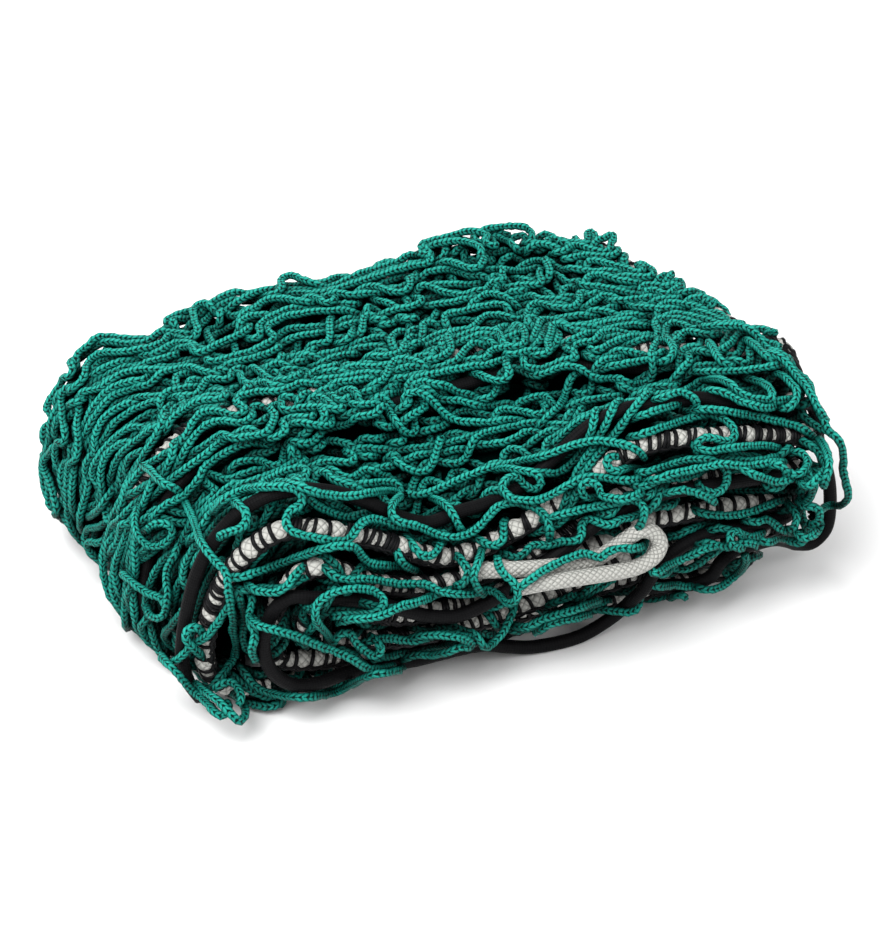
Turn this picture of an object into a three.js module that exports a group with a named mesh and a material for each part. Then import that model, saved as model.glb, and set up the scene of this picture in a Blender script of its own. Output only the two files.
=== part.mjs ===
// A knotless cover net, gathered to a strip and folded into a flat pack,
// with its white border rope, black elastic cords and white draw cord.
// Millimetres. X runs from the left folds to the right ends, Y from the front edge
// with the ropes to the back, Z up from the floor. The origin is under the pack's middle.

import * as THREE from 'three';

// Driving dimensions of the folded strip
const LAYER_THICKNESS = 9.8;
const LAYER_PITCH = 13;
const PACK_HALF_LENGTH = 130;
const PACK_HALF_DEPTH = 80;
const PACK_HEIGHT = 5 * LAYER_PITCH + LAYER_THICKNESS;

// Driving dimensions of the netting, cut at twice the pitch of the real meshes
const STRANDS = 10;
const HALF_MESHES = 24;
const STRAND_SWAY = 0.23;
const JUNCTION_HALF_LENGTH = 6;
const END_BAND = 7;
const SIDE_HEIGHT = 6;
const MAX_BEND = 0.72;
const DIRECTION_STEP = 1.5;
const TURN_SAMPLES = 12;

// Driving dimensions of the cords
const ROPE_DIAMETER = 6.2;
const ELASTIC_DIAMETER = 5;
const DRAW_CORD_DIAMETER = 5.8;
const CORD_SIDES = 8;
const SEAT = 0.9;
const ROPE_SEAT = 1.8;

// Unevenness of the whole pack, in shares of its half length and half depth
const DOME = 0.045;
const CORNER_START = 0.62;
const CORNER_STOP = 1.1;
const CORNER_PULL = 0.11;
const END_PULL = 0.05;
const END_PULL_START = 0.45;
const END_PULL_STOP = 1.1;
const PULL_LIMIT = 1.2;

// How far the left end is pushed in towards its front half and the right end towards its back,
// in millimetres, and over which stretch of the pack's depth; near the floor it is pushed less.
const LEFT_PUSH = 20;
const LEFT_PUSH_START = 75;
const LEFT_PUSH_REACH = 100;
const LEFT_EASE = 0.2;
const LEFT_EASE_START = 30;
const LEFT_EASE_REACH = 46;
const LEFT_FOOT = 0.55;
const LEFT_FOOT_HEIGHT = 50;
const RIGHT_PUSH = 22;
const RIGHT_PUSH_START = -20;
const RIGHT_PUSH_REACH = 85;

// How far back from the front edge its unevenness reaches
const FRONT_REACH = 48;

// The six layers from the floor up: where the left turn starts, where the layer ends
// on the right, and where its front and back edges lie.
const LAYERS = [
  { left: -100, right: 92, front: -61, back: 70 },
  { left: -88, right: 92, front: -69, back: 76 },
  { left: -85, right: 104, front: -78, back: 79 },
  { left: -85, right: 110, front: -80, back: 80 },
  { left: -88, right: 112, front: -80, back: 79 },
  { left: -100, right: 117, front: -77, back: 77 },
];

// The strip's way through the layers, with the reach of the turn that follows each one.
const FOLDS = [
  { layer: 3, heading: -1, reach: 6.8 },
  { layer: 4, heading: 1, reach: 8 },
  { layer: 5, heading: -1, reach: 16.6 },
  { layer: 2, heading: 1, reach: 8 },
  { layer: 1, heading: -1, reach: 29 },
  { layer: 6, heading: 1, reach: 0 },
];

// How far the front and the back of the top layer sink or stand up along the pack.
const FRONT_LIFTS = [
  { x: -140, lift: 8 },
  { x: -118, lift: 11 },
  { x: -100, lift: 14 },
  { x: -80, lift: 14 },
  { x: -64, lift: 3 },
  { x: -50, lift: -10 },
  { x: -34, lift: -16 },
  { x: -12, lift: -11 },
  { x: 6, lift: -7 },
  { x: 20, lift: 2 },
  { x: 34, lift: 11 },
  { x: 48, lift: 14 },
  { x: 70, lift: 12 },
  { x: 95, lift: 4 },
  { x: 115, lift: -4 },
  { x: 140, lift: -8 },
];

const BACK_LIFTS = [
  { x: -140, lift: -3 },
  { x: -105, lift: -3 },
  { x: -60, lift: -0.5 },
  { x: -10, lift: 2 },
  { x: 25, lift: 3.5 },
  { x: 60, lift: 5 },
  { x: 105, lift: 1.5 },
  { x: 140, lift: 0 },
];

const GREEN = { color: 0x1f8f73, roughness: 0.7 };
const WHITE = { color: 0xdedcd4, roughness: 0.75 };
const BLACK = { color: 0x17181a, roughness: 0.65 };

function smooth(t) {
  const c = Math.min(Math.max(t, 0), 1);
  return c * c * (3 - 2 * c);
}

function mix(a, b, t) {
  return a + (b - a) * t;
}

// The height of a layer's middle; halves lie between two layers.
function layerHeight(layer) {
  return LAYER_THICKNESS / 2 + (layer - 1) * LAYER_PITCH;
}

function liftAt(lifts, x) {
  let i = 0;
  while (i < lifts.length - 2 && x > lifts[i + 1].x) i += 1;
  const a = lifts[i];
  const b = lifts[i + 1];
  return mix(a.lift, b.lift, smooth((x - a.x) / (b.x - a.x)));
}

// Bends the even pack to the uneven one; the floor plane stays flat.
function settle(x, y, z) {
  const u = x / PACK_HALF_LENGTH;
  const v = y / PACK_HALF_DEPTH;
  const corner = smooth((Math.abs(u) - CORNER_START) / (CORNER_STOP - CORNER_START));
  const nearSide = smooth((Math.abs(v) - END_PULL_START) / (END_PULL_STOP - END_PULL_START));
  const depth = 1 - CORNER_PULL * corner * Math.min(Math.abs(v), PULL_LIMIT);
  const length = 1 - END_PULL * corner * nearSide;
  const dome = DOME * Math.max(0, 1 - u * u) * Math.max(0, 1 - v * v);
  const nearFront = smooth((-y - PACK_HALF_DEPTH + FRONT_REACH) / FRONT_REACH);
  const front = liftAt(FRONT_LIFTS, x) * nearFront;
  const back = liftAt(BACK_LIFTS, x) * smooth(v);
  const rise = 1 + dome + (front + back) / PACK_HEIGHT;
  const leftEase = 1 - LEFT_EASE * smooth((-y - LEFT_EASE_START) / LEFT_EASE_REACH);
  const leftFoot = 1 - LEFT_FOOT * (1 - smooth(z / LEFT_FOOT_HEIGHT));
  const leftReach = smooth((LEFT_PUSH_START - y) / LEFT_PUSH_REACH);
  const leftPush = LEFT_PUSH * leftEase * leftFoot * leftReach;
  const rightPush = RIGHT_PUSH * smooth((y - RIGHT_PUSH_START) / RIGHT_PUSH_REACH);
  const push = leftPush * smooth(-u) - rightPush * smooth(u);
  return new THREE.Vector3(x * length + push, y * depth, z * rise);
}

// The middle line of a strip through the given rows: straight legs and half-ellipse turns.
function stripLine(rows, legStep, turnSteps) {
  const line = [];
  rows.forEach((row, index) => {
    const start = row.heading < 0 ? row.right : row.left;
    const stop = row.heading < 0 ? row.left : row.right;
    const legSteps = Math.max(1, Math.round(Math.abs(stop - start) / legStep));
    for (let i = 0; i <= legSteps; i += 1) {
      const t = i / legSteps;
      line.push({ x: mix(start, stop, t), z: row.z, front: row.front, back: row.back, flat: row.flat });
    }
    const next = rows[index + 1];
    if (!next) return;
    const nextStart = next.heading < 0 ? next.right : next.left;
    for (let i = 1; i < turnSteps; i += 1) {
      const angle = (Math.PI * i) / turnSteps;
      const t = (1 - Math.cos(angle)) / 2;
      line.push({
        x: mix(stop, nextStart, t) + row.heading * row.reach * Math.sin(angle),
        z: mix(row.z, next.z, t),
        front: mix(row.front, next.front, t),
        back: mix(row.back, next.back, t),
        flat: mix(row.flat, next.flat, smooth(3 * t)),
      });
    }
  });
  return line;
}

function netRows() {
  return FOLDS.map((fold) => ({
    ...LAYERS[fold.layer - 1],
    z: layerHeight(fold.layer),
    heading: fold.heading,
    reach: fold.reach,
    flat: fold.layer === 1 ? 1 : 0,
  }));
}

// The place, direction and turn of the strip at a distance along its middle line.
function measuredLine(line) {
  const lengths = [0];
  for (let i = 1; i < line.length; i += 1) {
    const step = Math.hypot(line[i].x - line[i - 1].x, line[i].z - line[i - 1].z);
    lengths.push(lengths[i - 1] + step);
  }
  const total = lengths[lengths.length - 1];
  const at = (s) => {
    let i = 0;
    while (i < line.length - 2 && s > lengths[i + 1]) i += 1;
    const t = Math.min(Math.max((s - lengths[i]) / (lengths[i + 1] - lengths[i]), 0), 1);
    const a = line[i];
    const b = line[i + 1];
    return {
      x: mix(a.x, b.x, t),
      z: mix(a.z, b.z, t),
      front: mix(a.front, b.front, t),
      back: mix(a.back, b.back, t),
      flat: mix(a.flat, b.flat, t),
    };
  };
  const direction = (s) => {
    const a = at(Math.max(s - DIRECTION_STEP, 0));
    const b = at(Math.min(s + DIRECTION_STEP, total));
    return Math.atan2(b.z - a.z, b.x - a.x);
  };
  return { total, at, direction };
}

function turnBetween(strip, from, to) {
  let turn = 0;
  for (let i = 0; i < TURN_SAMPLES; i += 1) {
    const a = strip.direction(mix(from, to, i / TURN_SAMPLES));
    const b = strip.direction(mix(from, to, (i + 1) / TURN_SAMPLES));
    turn += Math.abs(Math.atan2(Math.sin(b - a), Math.cos(b - a)));
  }
  return turn;
}

// Distances of the cross sections: both ends of each junction, the middle of each mesh,
// and as many between as the turns need.
function sectionDistances(strip) {
  const pitch = strip.total / HALF_MESHES;
  const marks = [0, END_BAND];
  for (let j = 0; j <= HALF_MESHES; j += 1) {
    const middle = j * pitch;
    if (j > 0 && j < HALF_MESHES) {
      marks.push(middle - JUNCTION_HALF_LENGTH, middle + JUNCTION_HALF_LENGTH);
    }
    if (j < HALF_MESHES) marks.push(middle + pitch / 2);
  }
  marks.push(strip.total - END_BAND, strip.total);
  const distances = [0];
  for (let i = 1; i < marks.length; i += 1) {
    const parts = Math.max(1, Math.ceil(turnBetween(strip, marks[i - 1], marks[i]) / MAX_BEND));
    for (let k = 1; k <= parts; k += 1) distances.push(mix(marks[i - 1], marks[i], k / parts));
  }
  return distances;
}

// How far the strands sway to one side: -1 at even junctions, 1 at odd ones.
function swayAt(s, pitch, total) {
  const ending = Math.min(s / END_BAND, (total - s) / END_BAND);
  if (ending <= 1.001) return 0;
  const j = Math.round(s / pitch);
  const sign = j % 2 === 0 ? -1 : 1;
  const beyond = Math.max(0, Math.abs(s - j * pitch) - JUNCTION_HALF_LENGTH);
  const open = pitch / 2 - JUNCTION_HALF_LENGTH;
  return sign * (1 - beyond / open);
}

function joinedGap(gap, from, to, pitch, total) {
  const middle = (from + to) / 2;
  if (middle < END_BAND || middle > total - END_BAND) return true;
  const j = Math.round(middle / pitch);
  if (j === 0 || j === HALF_MESHES) return false;
  const inJunction = Math.abs(middle - j * pitch) < JUNCTION_HALF_LENGTH;
  return inJunction && (gap + j) % 2 === 1;
}

// The whole net as one closed surface: strands side by side along the strip,
// each joined to one neighbour and then the other at the junctions.
function netGeometry(strip) {
  const pitch = strip.total / HALF_MESHES;
  const distances = sectionDistances(strip);
  const points = [];
  const corners = [];
  const triangles = [];
  const half = LAYER_THICKNESS / 2;

  const addPoint = (section, y, height) => {
    const p = settle(
      section.x - Math.sin(section.angle) * height,
      y,
      section.z + Math.cos(section.angle) * height,
    );
    points.push(p);
    return points.length - 1;
  };

  const gapClosed = (k, gap) => {
    const before = k > 0 && joinedGap(gap, distances[k - 1], distances[k], pitch, strip.total);
    const after = k < distances.length - 1
      && joinedGap(gap, distances[k], distances[k + 1], pitch, strip.total);
    return before || after;
  };

  distances.forEach((s, k) => {
    const section = { ...strip.at(s), angle: strip.direction(s) };
    const width = (section.back - section.front) / STRANDS;
    const sway = swayAt(s, pitch, strip.total);
    const inEnd = s <= END_BAND + 0.01 || s >= strip.total - END_BAND - 0.01;
    const outerSide = mix(SIDE_HEIGHT / 2, half, section.flat);
    const row = [];
    for (let i = 0; i < STRANDS; i += 1) {
      const shift = (i % 2 === 0 ? 1 : -1) * sway * STRAND_SWAY;
      const halfWidth = inEnd ? 0.5 : 0.5 - STRAND_SWAY;
      let low = section.front + width * (i + 0.5 + shift - halfWidth);
      let high = section.front + width * (i + 0.5 + shift + halfWidth);
      if (i === 0) low = section.front;
      if (i === STRANDS - 1) high = section.back;
      const crown = (low + high) / 2;
      const shared = i > 0 && gapClosed(k, i - 1) ? row[i - 1] : null;
      const lowInner = shared ? shared.highInner : addPoint(section, low, -SIDE_HEIGHT / 2);
      const lowOuter = shared ? shared.highOuter : addPoint(section, low, outerSide);
      row.push({
        lowInner,
        midInner: addPoint(section, crown, -half),
        highInner: addPoint(section, high, -SIDE_HEIGHT / 2),
        highOuter: addPoint(section, high, outerSide),
        midOuter: addPoint(section, crown, half),
        lowOuter,
      });
    }
    corners.push(row);
  });

  const addQuad = (a, b, c, d) => {
    triangles.push(a, b, c, a, c, d);
  };

  for (let k = 0; k < distances.length - 1; k += 1) {
    for (let i = 0; i < STRANDS; i += 1) {
      const a = corners[k][i];
      const b = corners[k + 1][i];
      const joined = (gap) => gap >= 0 && gap < STRANDS - 1
        && joinedGap(gap, distances[k], distances[k + 1], pitch, strip.total);
      addQuad(a.lowInner, a.midInner, b.midInner, b.lowInner);
      addQuad(a.midInner, a.highInner, b.highInner, b.midInner);
      addQuad(a.highOuter, a.midOuter, b.midOuter, b.highOuter);
      addQuad(a.midOuter, a.lowOuter, b.lowOuter, b.midOuter);
      if (!joined(i)) addQuad(a.highInner, a.highOuter, b.highOuter, b.highInner);
      if (!joined(i - 1)) addQuad(a.lowOuter, a.lowInner, b.lowInner, b.lowOuter);
    }
  }

  const addCap = (c, first) => {
    const loop = [c.lowInner, c.midInner, c.highInner, c.highOuter, c.midOuter, c.lowOuter];
    if (first) loop.reverse();
    for (let n = 1; n < loop.length - 1; n += 1) triangles.push(loop[0], loop[n], loop[n + 1]);
  };
  corners[0].forEach((c) => addCap(c, true));
  corners[corners.length - 1].forEach((c) => addCap(c, false));

  const geometry = new THREE.BufferGeometry();
  geometry.setFromPoints(points);
  geometry.setIndex(triangles);
  geometry.computeVertexNormals();
  return geometry;
}

// A curve with one section at each of its points, so that bends can have more than straights.
class StationCurve extends THREE.CatmullRomCurve3 {
  getPointAt(u, target) {
    return this.getPoint(u, target);
  }

  getTangentAt(u, target) {
    return this.getTangent(u, target);
  }

  getSpacedPoints(divisions) {
    return this.getPoints(divisions);
  }
}

function cordGeometry(points, diameter) {
  const outline = new THREE.Shape();
  for (let i = 0; i < CORD_SIDES; i += 1) {
    const angle = (2 * Math.PI * (i + 0.5)) / CORD_SIDES;
    const x = (diameter / 2) * Math.cos(angle);
    const y = (diameter / 2) * Math.sin(angle);
    if (i === 0) outline.moveTo(x, y);
    else outline.lineTo(x, y);
  }
  outline.closePath();
  const path = new StationCurve(points, false, 'centripetal');
  return new THREE.ExtrudeGeometry(outline, {
    steps: points.length - 1,
    extrudePath: path,
    bevelEnabled: false,
  });
}

// The border rope: up one end of the net, along its front edge through every fold,
// and down the other end.
function borderRopePoints() {
  const out = ROPE_DIAMETER / 2 + ROPE_SEAT;
  const line = stripLine(netRows(), 34, 6);
  const first = line[0];
  const last = line[line.length - 1];
  const endShares = [0.94, 0.62, 0.3, 0, -0.3, -0.6, -0.85];
  const cornerAngles = [0, Math.PI / 6, Math.PI / 3, Math.PI / 2];
  const along = (p) => endShares.map((share) => settle(p.x + out, share * p.back, p.z));
  const round = (p) => cornerAngles.map((angle) => (
    settle(p.x + out * Math.cos(angle), p.front - out * Math.sin(angle), p.z)
  ));
  const edge = line.slice(1, -1).map((p) => settle(p.x, p.front - out, p.z));
  return [
    ...along(first),
    ...round(first),
    ...edge,
    ...round(last).reverse(),
    ...along(last).reverse(),
  ];
}

// How a cord laid over the top bends down over the right end, outside the border rope there.
const END_BEND = [
  { x: 125, z: 43 },
  { x: 129.4, z: 51 },
  { x: 130.2, z: 61 },
  { x: 129.7, z: 70.5 },
  { x: 124.5, z: 77.6 },
];

// Where the cords laid over the top run: at the right end, at the left fold and near its foot,
// and how far they stand clear over the dip of the front edge.
const SET_BACK_ROPE_LINE = { yRight: -37, yLeft: -4, yFoot: -16, clear: 0 };
const SET_BACK_ELASTIC_LINE = { yRight: -47, yLeft: -20, yFoot: -32, clear: 0 };
const TOP_ELASTIC_LINE = { yRight: -74, yLeft: -73, yFoot: -70, clear: 7 };

// The way of a cord laid on the outermost layer: over the top and down the left fold
// to just above the floor.
const TOP_STEPS = 16;
const TOP_SWING = 0.45;
const TOP_INSET = 4;
const TOP_WANDER = 2.5;
const DIP_MIDDLE = -40;
const DIP_REACH = 36;
const LEFT_STEPS = 9;
const LEFT_SWEEP = 0.77 * Math.PI;

function overTopPoints(diameter, { yRight, yLeft, yFoot, clear }) {
  const out = LAYER_THICKNESS / 2 + SEAT + diameter / 2;
  const top = layerHeight(6);
  const middle = (layerHeight(6) + layerHeight(1)) / 2;
  const { left, right } = LAYERS[5];
  const reach = FOLDS[4].reach + out;
  const rise = top - middle + out;
  const points = [];
  for (let i = 0; i <= TOP_STEPS; i += 1) {
    const t = i / TOP_STEPS;
    const wander = TOP_WANDER * Math.sin(2 * Math.PI * t);
    const y = mix(yRight, yLeft, smooth(t / TOP_SWING)) + wander;
    const x = mix(right - TOP_INSET, left, t);
    const dip = smooth(1 - Math.abs(x - DIP_MIDDLE) / DIP_REACH);
    points.push(settle(x, y, top + out + clear * dip));
  }
  for (let i = 1; i <= LEFT_STEPS; i += 1) {
    const angle = (LEFT_SWEEP * i) / LEFT_STEPS;
    const y = mix(yLeft, yFoot, i / LEFT_STEPS);
    points.push(settle(left - reach * Math.sin(angle), y, middle + rise * Math.cos(angle)));
  }
  return points;
}

function setBackPoints(diameter, line) {
  const bend = END_BEND.map((p) => settle(p.x, line.yRight, p.z));
  return [...bend, ...overTopPoints(diameter, line)];
}

// The elastic along the front of the top fold starts in front of the lowest layers, runs to
// the right between two of them and hangs down round the right end.
const RIGHT_LOOP = [
  { x: 53, y: -76, z: 12.4 },
  { x: 62, y: -77.5, z: 12.4 },
  { x: 71, y: -81, z: 13 },
  { x: 77, y: -83.4, z: 16.5 },
  { x: 80, y: -83.6, z: 21.2 },
  { x: 86, y: -82.4, z: 24.2 },
  { x: 96, y: -82, z: 24.4 },
  { x: 107, y: -80.5, z: 23 },
  { x: 117, y: -77, z: 17 },
  { x: 125, y: -74.5, z: 11 },
  { x: 133, y: -74, z: 9 },
  { x: 138.5, y: -74.5, z: 14 },
  { x: 140, y: -74, z: 25 },
  { x: 139, y: -72.5, z: 38 },
  { x: 135.5, y: -72, z: 50 },
  { x: 132, y: -72.5, z: 60 },
  { x: 130.8, y: -73, z: 69 },
  { x: 126, y: -73.5, z: 77.8 },
];

function topElasticPoints() {
  const loop = RIGHT_LOOP.map((p) => settle(p.x, p.y, p.z));
  const rest = overTopPoints(ELASTIC_DIAMETER, TOP_ELASTIC_LINE);
  return [...loop, ...rest];
}

// The elastic in front of the rope runs along the upper layers, turns down inside the outer
// fold, leaves the pack for a loop on the floor and goes back between the middle layers.
const EDGE_ELASTIC = [
  { x: 110, y: -91.8, z: 58.5 },
  { x: 97, y: -91.6, z: 58.5 },
  { x: 80, y: -90.8, z: 57.3 },
  { x: 62, y: -91, z: 56.9 },
  { x: 46, y: -91, z: 56.5 },
  { x: 27, y: -91, z: 56.5 },
  { x: 12, y: -91, z: 55 },
  { x: -3, y: -91, z: 50.5 },
  { x: -16, y: -91, z: 46 },
  { x: -29, y: -91, z: 46 },
  { x: -41, y: -91, z: 48.5 },
  { x: -55, y: -91, z: 50.5 },
  { x: -70, y: -91, z: 49 },
  { x: -82, y: -91, z: 48 },
  { x: -94, y: -91, z: 50 },
  { x: -102, y: -91, z: 50.8 },
  { x: -108, y: -91, z: 48.5 },
  { x: -112, y: -91, z: 43 },
  { x: -112.5, y: -90.5, z: 35 },
  { x: -108, y: -89, z: 26.5 },
  { x: -101, y: -86.5, z: 20 },
  { x: -91, y: -84, z: 14.8 },
  { x: -81, y: -82.5, z: 13.2 },
  { x: -70, y: -81, z: 14.4 },
  { x: -56, y: -80.5, z: 15.5 },
  { x: -40, y: -80, z: 15.5 },
  { x: -22, y: -79.5, z: 14.5 },
  { x: -12, y: -79, z: 12.5 },
  { x: -3, y: -78.5, z: 8 },
  { x: 6, y: -78.5, z: 4.2 },
  { x: 16, y: -79, z: 2.7 },
  { x: 27, y: -79, z: 2.7 },
  { x: 36, y: -78.7, z: 5 },
  { x: 42, y: -80.5, z: 9.5 },
  { x: 45, y: -84.5, z: 15.5 },
  { x: 47.5, y: -88.5, z: 21.5 },
  { x: 50.5, y: -90, z: 28 },
  { x: 58, y: -89.7, z: 33.5 },
  { x: 70, y: -89.2, z: 36.8 },
  { x: 85, y: -88.5, z: 37.5 },
  { x: 103, y: -88.5, z: 37.5 },
  { x: 112, y: -85, z: 36.6 },
  { x: 116.6, y: -77, z: 33.1 },
];

function edgeElasticPoints() {
  return EDGE_ELASTIC.map((p) => settle(p.x, p.y, p.z));
}

// The draw cord comes out between the middle layers and turns back on itself.
const DRAW_CORD = [
  { x: -26.5, y: -89.5, z: 66.2 },
  { x: -19.6, y: -91, z: 64.4 },
  { x: -12.3, y: -93, z: 62.9 },
  { x: -3.5, y: -95.4, z: 60.7 },
  { x: 5.4, y: -96.8, z: 57.9 },
  { x: 15.0, y: -96.8, z: 51.4 },
  { x: 23.9, y: -96.8, z: 48.6 },
  { x: 30.4, y: -96.8, z: 47.5 },
  { x: 36.1, y: -96.8, z: 49.3 },
  { x: 40.9, y: -97, z: 50.1 },
  { x: 45.4, y: -97.6, z: 47.5 },
  { x: 47.4, y: -98.8, z: 43.6 },
  { x: 45.0, y: -100, z: 40.9 },
  { x: 38.2, y: -101.3, z: 40.2 },
  { x: 27.9, y: -102.3, z: 43.2 },
  { x: 16.1, y: -102.8, z: 49.0 },
  { x: 4.6, y: -102.8, z: 55.9 },
  { x: -2.8, y: -102.2, z: 57.7 },
  { x: -10.0, y: -101, z: 58.9 },
];

function drawCordPoints() {
  return DRAW_CORD.map((p) => settle(p.x, p.y, p.z));
}

function named(name, geometry, look) {
  const material = new THREE.MeshStandardMaterial(look);
  const mesh = new THREE.Mesh(geometry, material);
  mesh.name = name;
  return mesh;
}

const strip = measuredLine(stripLine(netRows(), 20, 16));

const part = new THREE.Group();
part.name = 'folded_cover_net';
part.add(named('net', netGeometry(strip), GREEN));
part.add(named('border_rope', cordGeometry(borderRopePoints(), ROPE_DIAMETER), WHITE));
part.add(named('set_back_rope',
  cordGeometry(setBackPoints(ROPE_DIAMETER, SET_BACK_ROPE_LINE), ROPE_DIAMETER), WHITE));
part.add(named('edge_elastic', cordGeometry(edgeElasticPoints(), ELASTIC_DIAMETER), BLACK));
part.add(named('top_elastic', cordGeometry(topElasticPoints(), ELASTIC_DIAMETER), BLACK));
part.add(named('set_back_elastic',
  cordGeometry(setBackPoints(ELASTIC_DIAMETER, SET_BACK_ELASTIC_LINE), ELASTIC_DIAMETER), BLACK));
part.add(named('draw_cord', cordGeometry(drawCordPoints(), DRAW_CORD_DIAMETER), WHITE));

export default part;
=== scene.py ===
"""Dresses the folded cover net: knitted cords, border rope, elastics, draw cord and the studio stage."""

import math
from collections import namedtuple

import bpy
import numpy as np
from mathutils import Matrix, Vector


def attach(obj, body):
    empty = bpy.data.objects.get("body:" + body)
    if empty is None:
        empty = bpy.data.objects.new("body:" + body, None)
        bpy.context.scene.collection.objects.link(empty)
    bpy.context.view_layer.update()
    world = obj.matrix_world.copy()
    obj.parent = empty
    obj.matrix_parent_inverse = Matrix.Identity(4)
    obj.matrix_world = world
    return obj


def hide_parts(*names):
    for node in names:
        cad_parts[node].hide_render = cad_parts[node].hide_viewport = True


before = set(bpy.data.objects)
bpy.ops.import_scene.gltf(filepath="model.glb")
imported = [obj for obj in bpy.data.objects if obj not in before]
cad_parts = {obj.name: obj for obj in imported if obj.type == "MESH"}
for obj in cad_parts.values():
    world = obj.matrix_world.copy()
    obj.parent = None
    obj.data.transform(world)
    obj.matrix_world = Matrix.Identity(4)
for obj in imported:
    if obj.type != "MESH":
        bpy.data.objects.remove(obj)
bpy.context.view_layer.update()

bl_info = {
    "name": "Folded cover net",
    "version": (1, 0, 0),
    "blender": (4, 5, 0),
    "location": "View3D > Sidebar > Cover net",
    "description": "Builds a folded knotless cover net with its rope, elastic and draw cord",
    "category": "Object",
}

# The fold, in millimetres: the same sizes and routes as the part's own source
MM = 0.001
LAYER_THICKNESS = 9.8
LAYER_PITCH = 13.0
PACK_HALF_LENGTH = 130.0
PACK_HALF_DEPTH = 80.0
PACK_HEIGHT = 5 * LAYER_PITCH + LAYER_THICKNESS

DOME = 0.045
CORNER_START = 0.62
CORNER_STOP = 1.1
CORNER_PULL = 0.11
END_PULL = 0.05
END_PULL_START = 0.45
END_PULL_STOP = 1.1
PULL_LIMIT = 1.2
LEFT_PUSH = 20.0
LEFT_PUSH_START = 75.0
LEFT_PUSH_REACH = 100.0
LEFT_EASE = 0.2
LEFT_EASE_START = 30.0
LEFT_EASE_REACH = 46.0
LEFT_FOOT = 0.55
LEFT_FOOT_HEIGHT = 50.0
RIGHT_PUSH = 22.0
RIGHT_PUSH_START = -20.0
RIGHT_PUSH_REACH = 85.0
FRONT_REACH = 48.0

ROPE_DIAMETER = 6.2
ELASTIC_DIAMETER = 5.0
DRAW_CORD_DIAMETER = 5.8
ELASTIC_STEP = 1.6
ELASTIC_SIDES = 14
DRAW_CORD_STEP = 0.8
DRAW_CORD_SIDES = 20
SEAT = 0.9
ROPE_SEAT = 1.8

Layer = namedtuple("Layer", "left right front back")
LAYERS = (
    Layer(-100, 92, -61, 70),
    Layer(-88, 92, -69, 76),
    Layer(-85, 104, -78, 79),
    Layer(-85, 110, -80, 80),
    Layer(-88, 112, -80, 79),
    Layer(-100, 117, -77, 77),
)

Fold = namedtuple("Fold", "layer heading reach")
FOLDS = (
    Fold(3, -1, 6.8),
    Fold(4, 1, 8.0),
    Fold(5, -1, 16.6),
    Fold(2, 1, 8.0),
    Fold(1, -1, 29.0),
    Fold(6, 1, 0.0),
)

Lift = namedtuple("Lift", "x lift")
FRONT_LIFTS = (
    Lift(-140, 8.0),
    Lift(-118, 11.0),
    Lift(-100, 14.0),
    Lift(-80, 14.0),
    Lift(-64, 3.0),
    Lift(-50, -10.0),
    Lift(-34, -16.0),
    Lift(-12, -11.0),
    Lift(6, -7.0),
    Lift(20, 2.0),
    Lift(34, 11.0),
    Lift(48, 14.0),
    Lift(70, 12.0),
    Lift(95, 4.0),
    Lift(115, -4.0),
    Lift(140, -8.0),
)
BACK_LIFTS = (
    Lift(-140, -3.0),
    Lift(-105, -3.0),
    Lift(-60, -0.5),
    Lift(-10, 2.0),
    Lift(25, 3.5),
    Lift(60, 5.0),
    Lift(105, 1.5),
    Lift(140, 0.0),
)

Row = namedtuple("Row", "z left right front back heading reach")
Spot = namedtuple("Spot", "x y z")

# The cords' routes as points, before the pack is bent; the bend at the right end has x and z alone
END_BEND = ((125, 43), (129.4, 51), (130.2, 61), (129.7, 70.5), (124.5, 77.6))

RIGHT_LOOP = (
    Spot(53, -76, 12.4),
    Spot(62, -77.5, 12.4),
    Spot(71, -81, 13),
    Spot(77, -83.4, 16.5),
    Spot(80, -83.6, 21.2),
    Spot(86, -82.4, 24.2),
    Spot(96, -82, 24.4),
    Spot(107, -80.5, 23),
    Spot(117, -77, 17),
    Spot(125, -74.5, 11),
    Spot(133, -74, 9),
    Spot(138.5, -74.5, 14),
    Spot(140, -74, 25),
    Spot(139, -72.5, 38),
    Spot(135.5, -72, 50),
    Spot(132, -72.5, 60),
    Spot(130.8, -73, 69),
    Spot(126, -73.5, 77.8),
)

EDGE_ELASTIC = (
    Spot(110, -91.8, 58.5),
    Spot(97, -91.6, 58.5),
    Spot(80, -90.8, 57.3),
    Spot(62, -91, 56.9),
    Spot(46, -91, 56.5),
    Spot(27, -91, 56.5),
    Spot(12, -91, 55),
    Spot(-3, -91, 50.5),
    Spot(-16, -91, 46),
    Spot(-29, -91, 46),
    Spot(-41, -91, 48.5),
    Spot(-55, -91, 50.5),
    Spot(-70, -91, 49),
    Spot(-82, -91, 48),
    Spot(-94, -91, 50),
    Spot(-102, -91, 50.8),
    Spot(-108, -91, 48.5),
    Spot(-112, -91, 43),
    Spot(-112.5, -90.5, 35),
    Spot(-108, -89, 26.5),
    Spot(-101, -86.5, 20),
    Spot(-91, -84, 14.8),
    Spot(-81, -82.5, 13.2),
    Spot(-70, -81, 14.4),
    Spot(-56, -80.5, 15.5),
    Spot(-40, -80, 15.5),
    Spot(-22, -79.5, 14.5),
    Spot(-12, -79, 12.5),
    Spot(-3, -78.5, 8),
    Spot(6, -78.5, 4.2),
    Spot(16, -79, 2.7),
    Spot(27, -79, 2.7),
    Spot(36, -78.7, 5),
    Spot(42, -80.5, 9.5),
    Spot(45, -84.5, 15.5),
    Spot(47.5, -88.5, 21.5),
    Spot(50.5, -90, 28),
    Spot(58, -89.7, 33.5),
    Spot(70, -89.2, 36.8),
    Spot(85, -88.5, 37.5),
    Spot(103, -88.5, 37.5),
    Spot(112, -85, 36.6),
    Spot(116.6, -77, 33.1),
)

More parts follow.
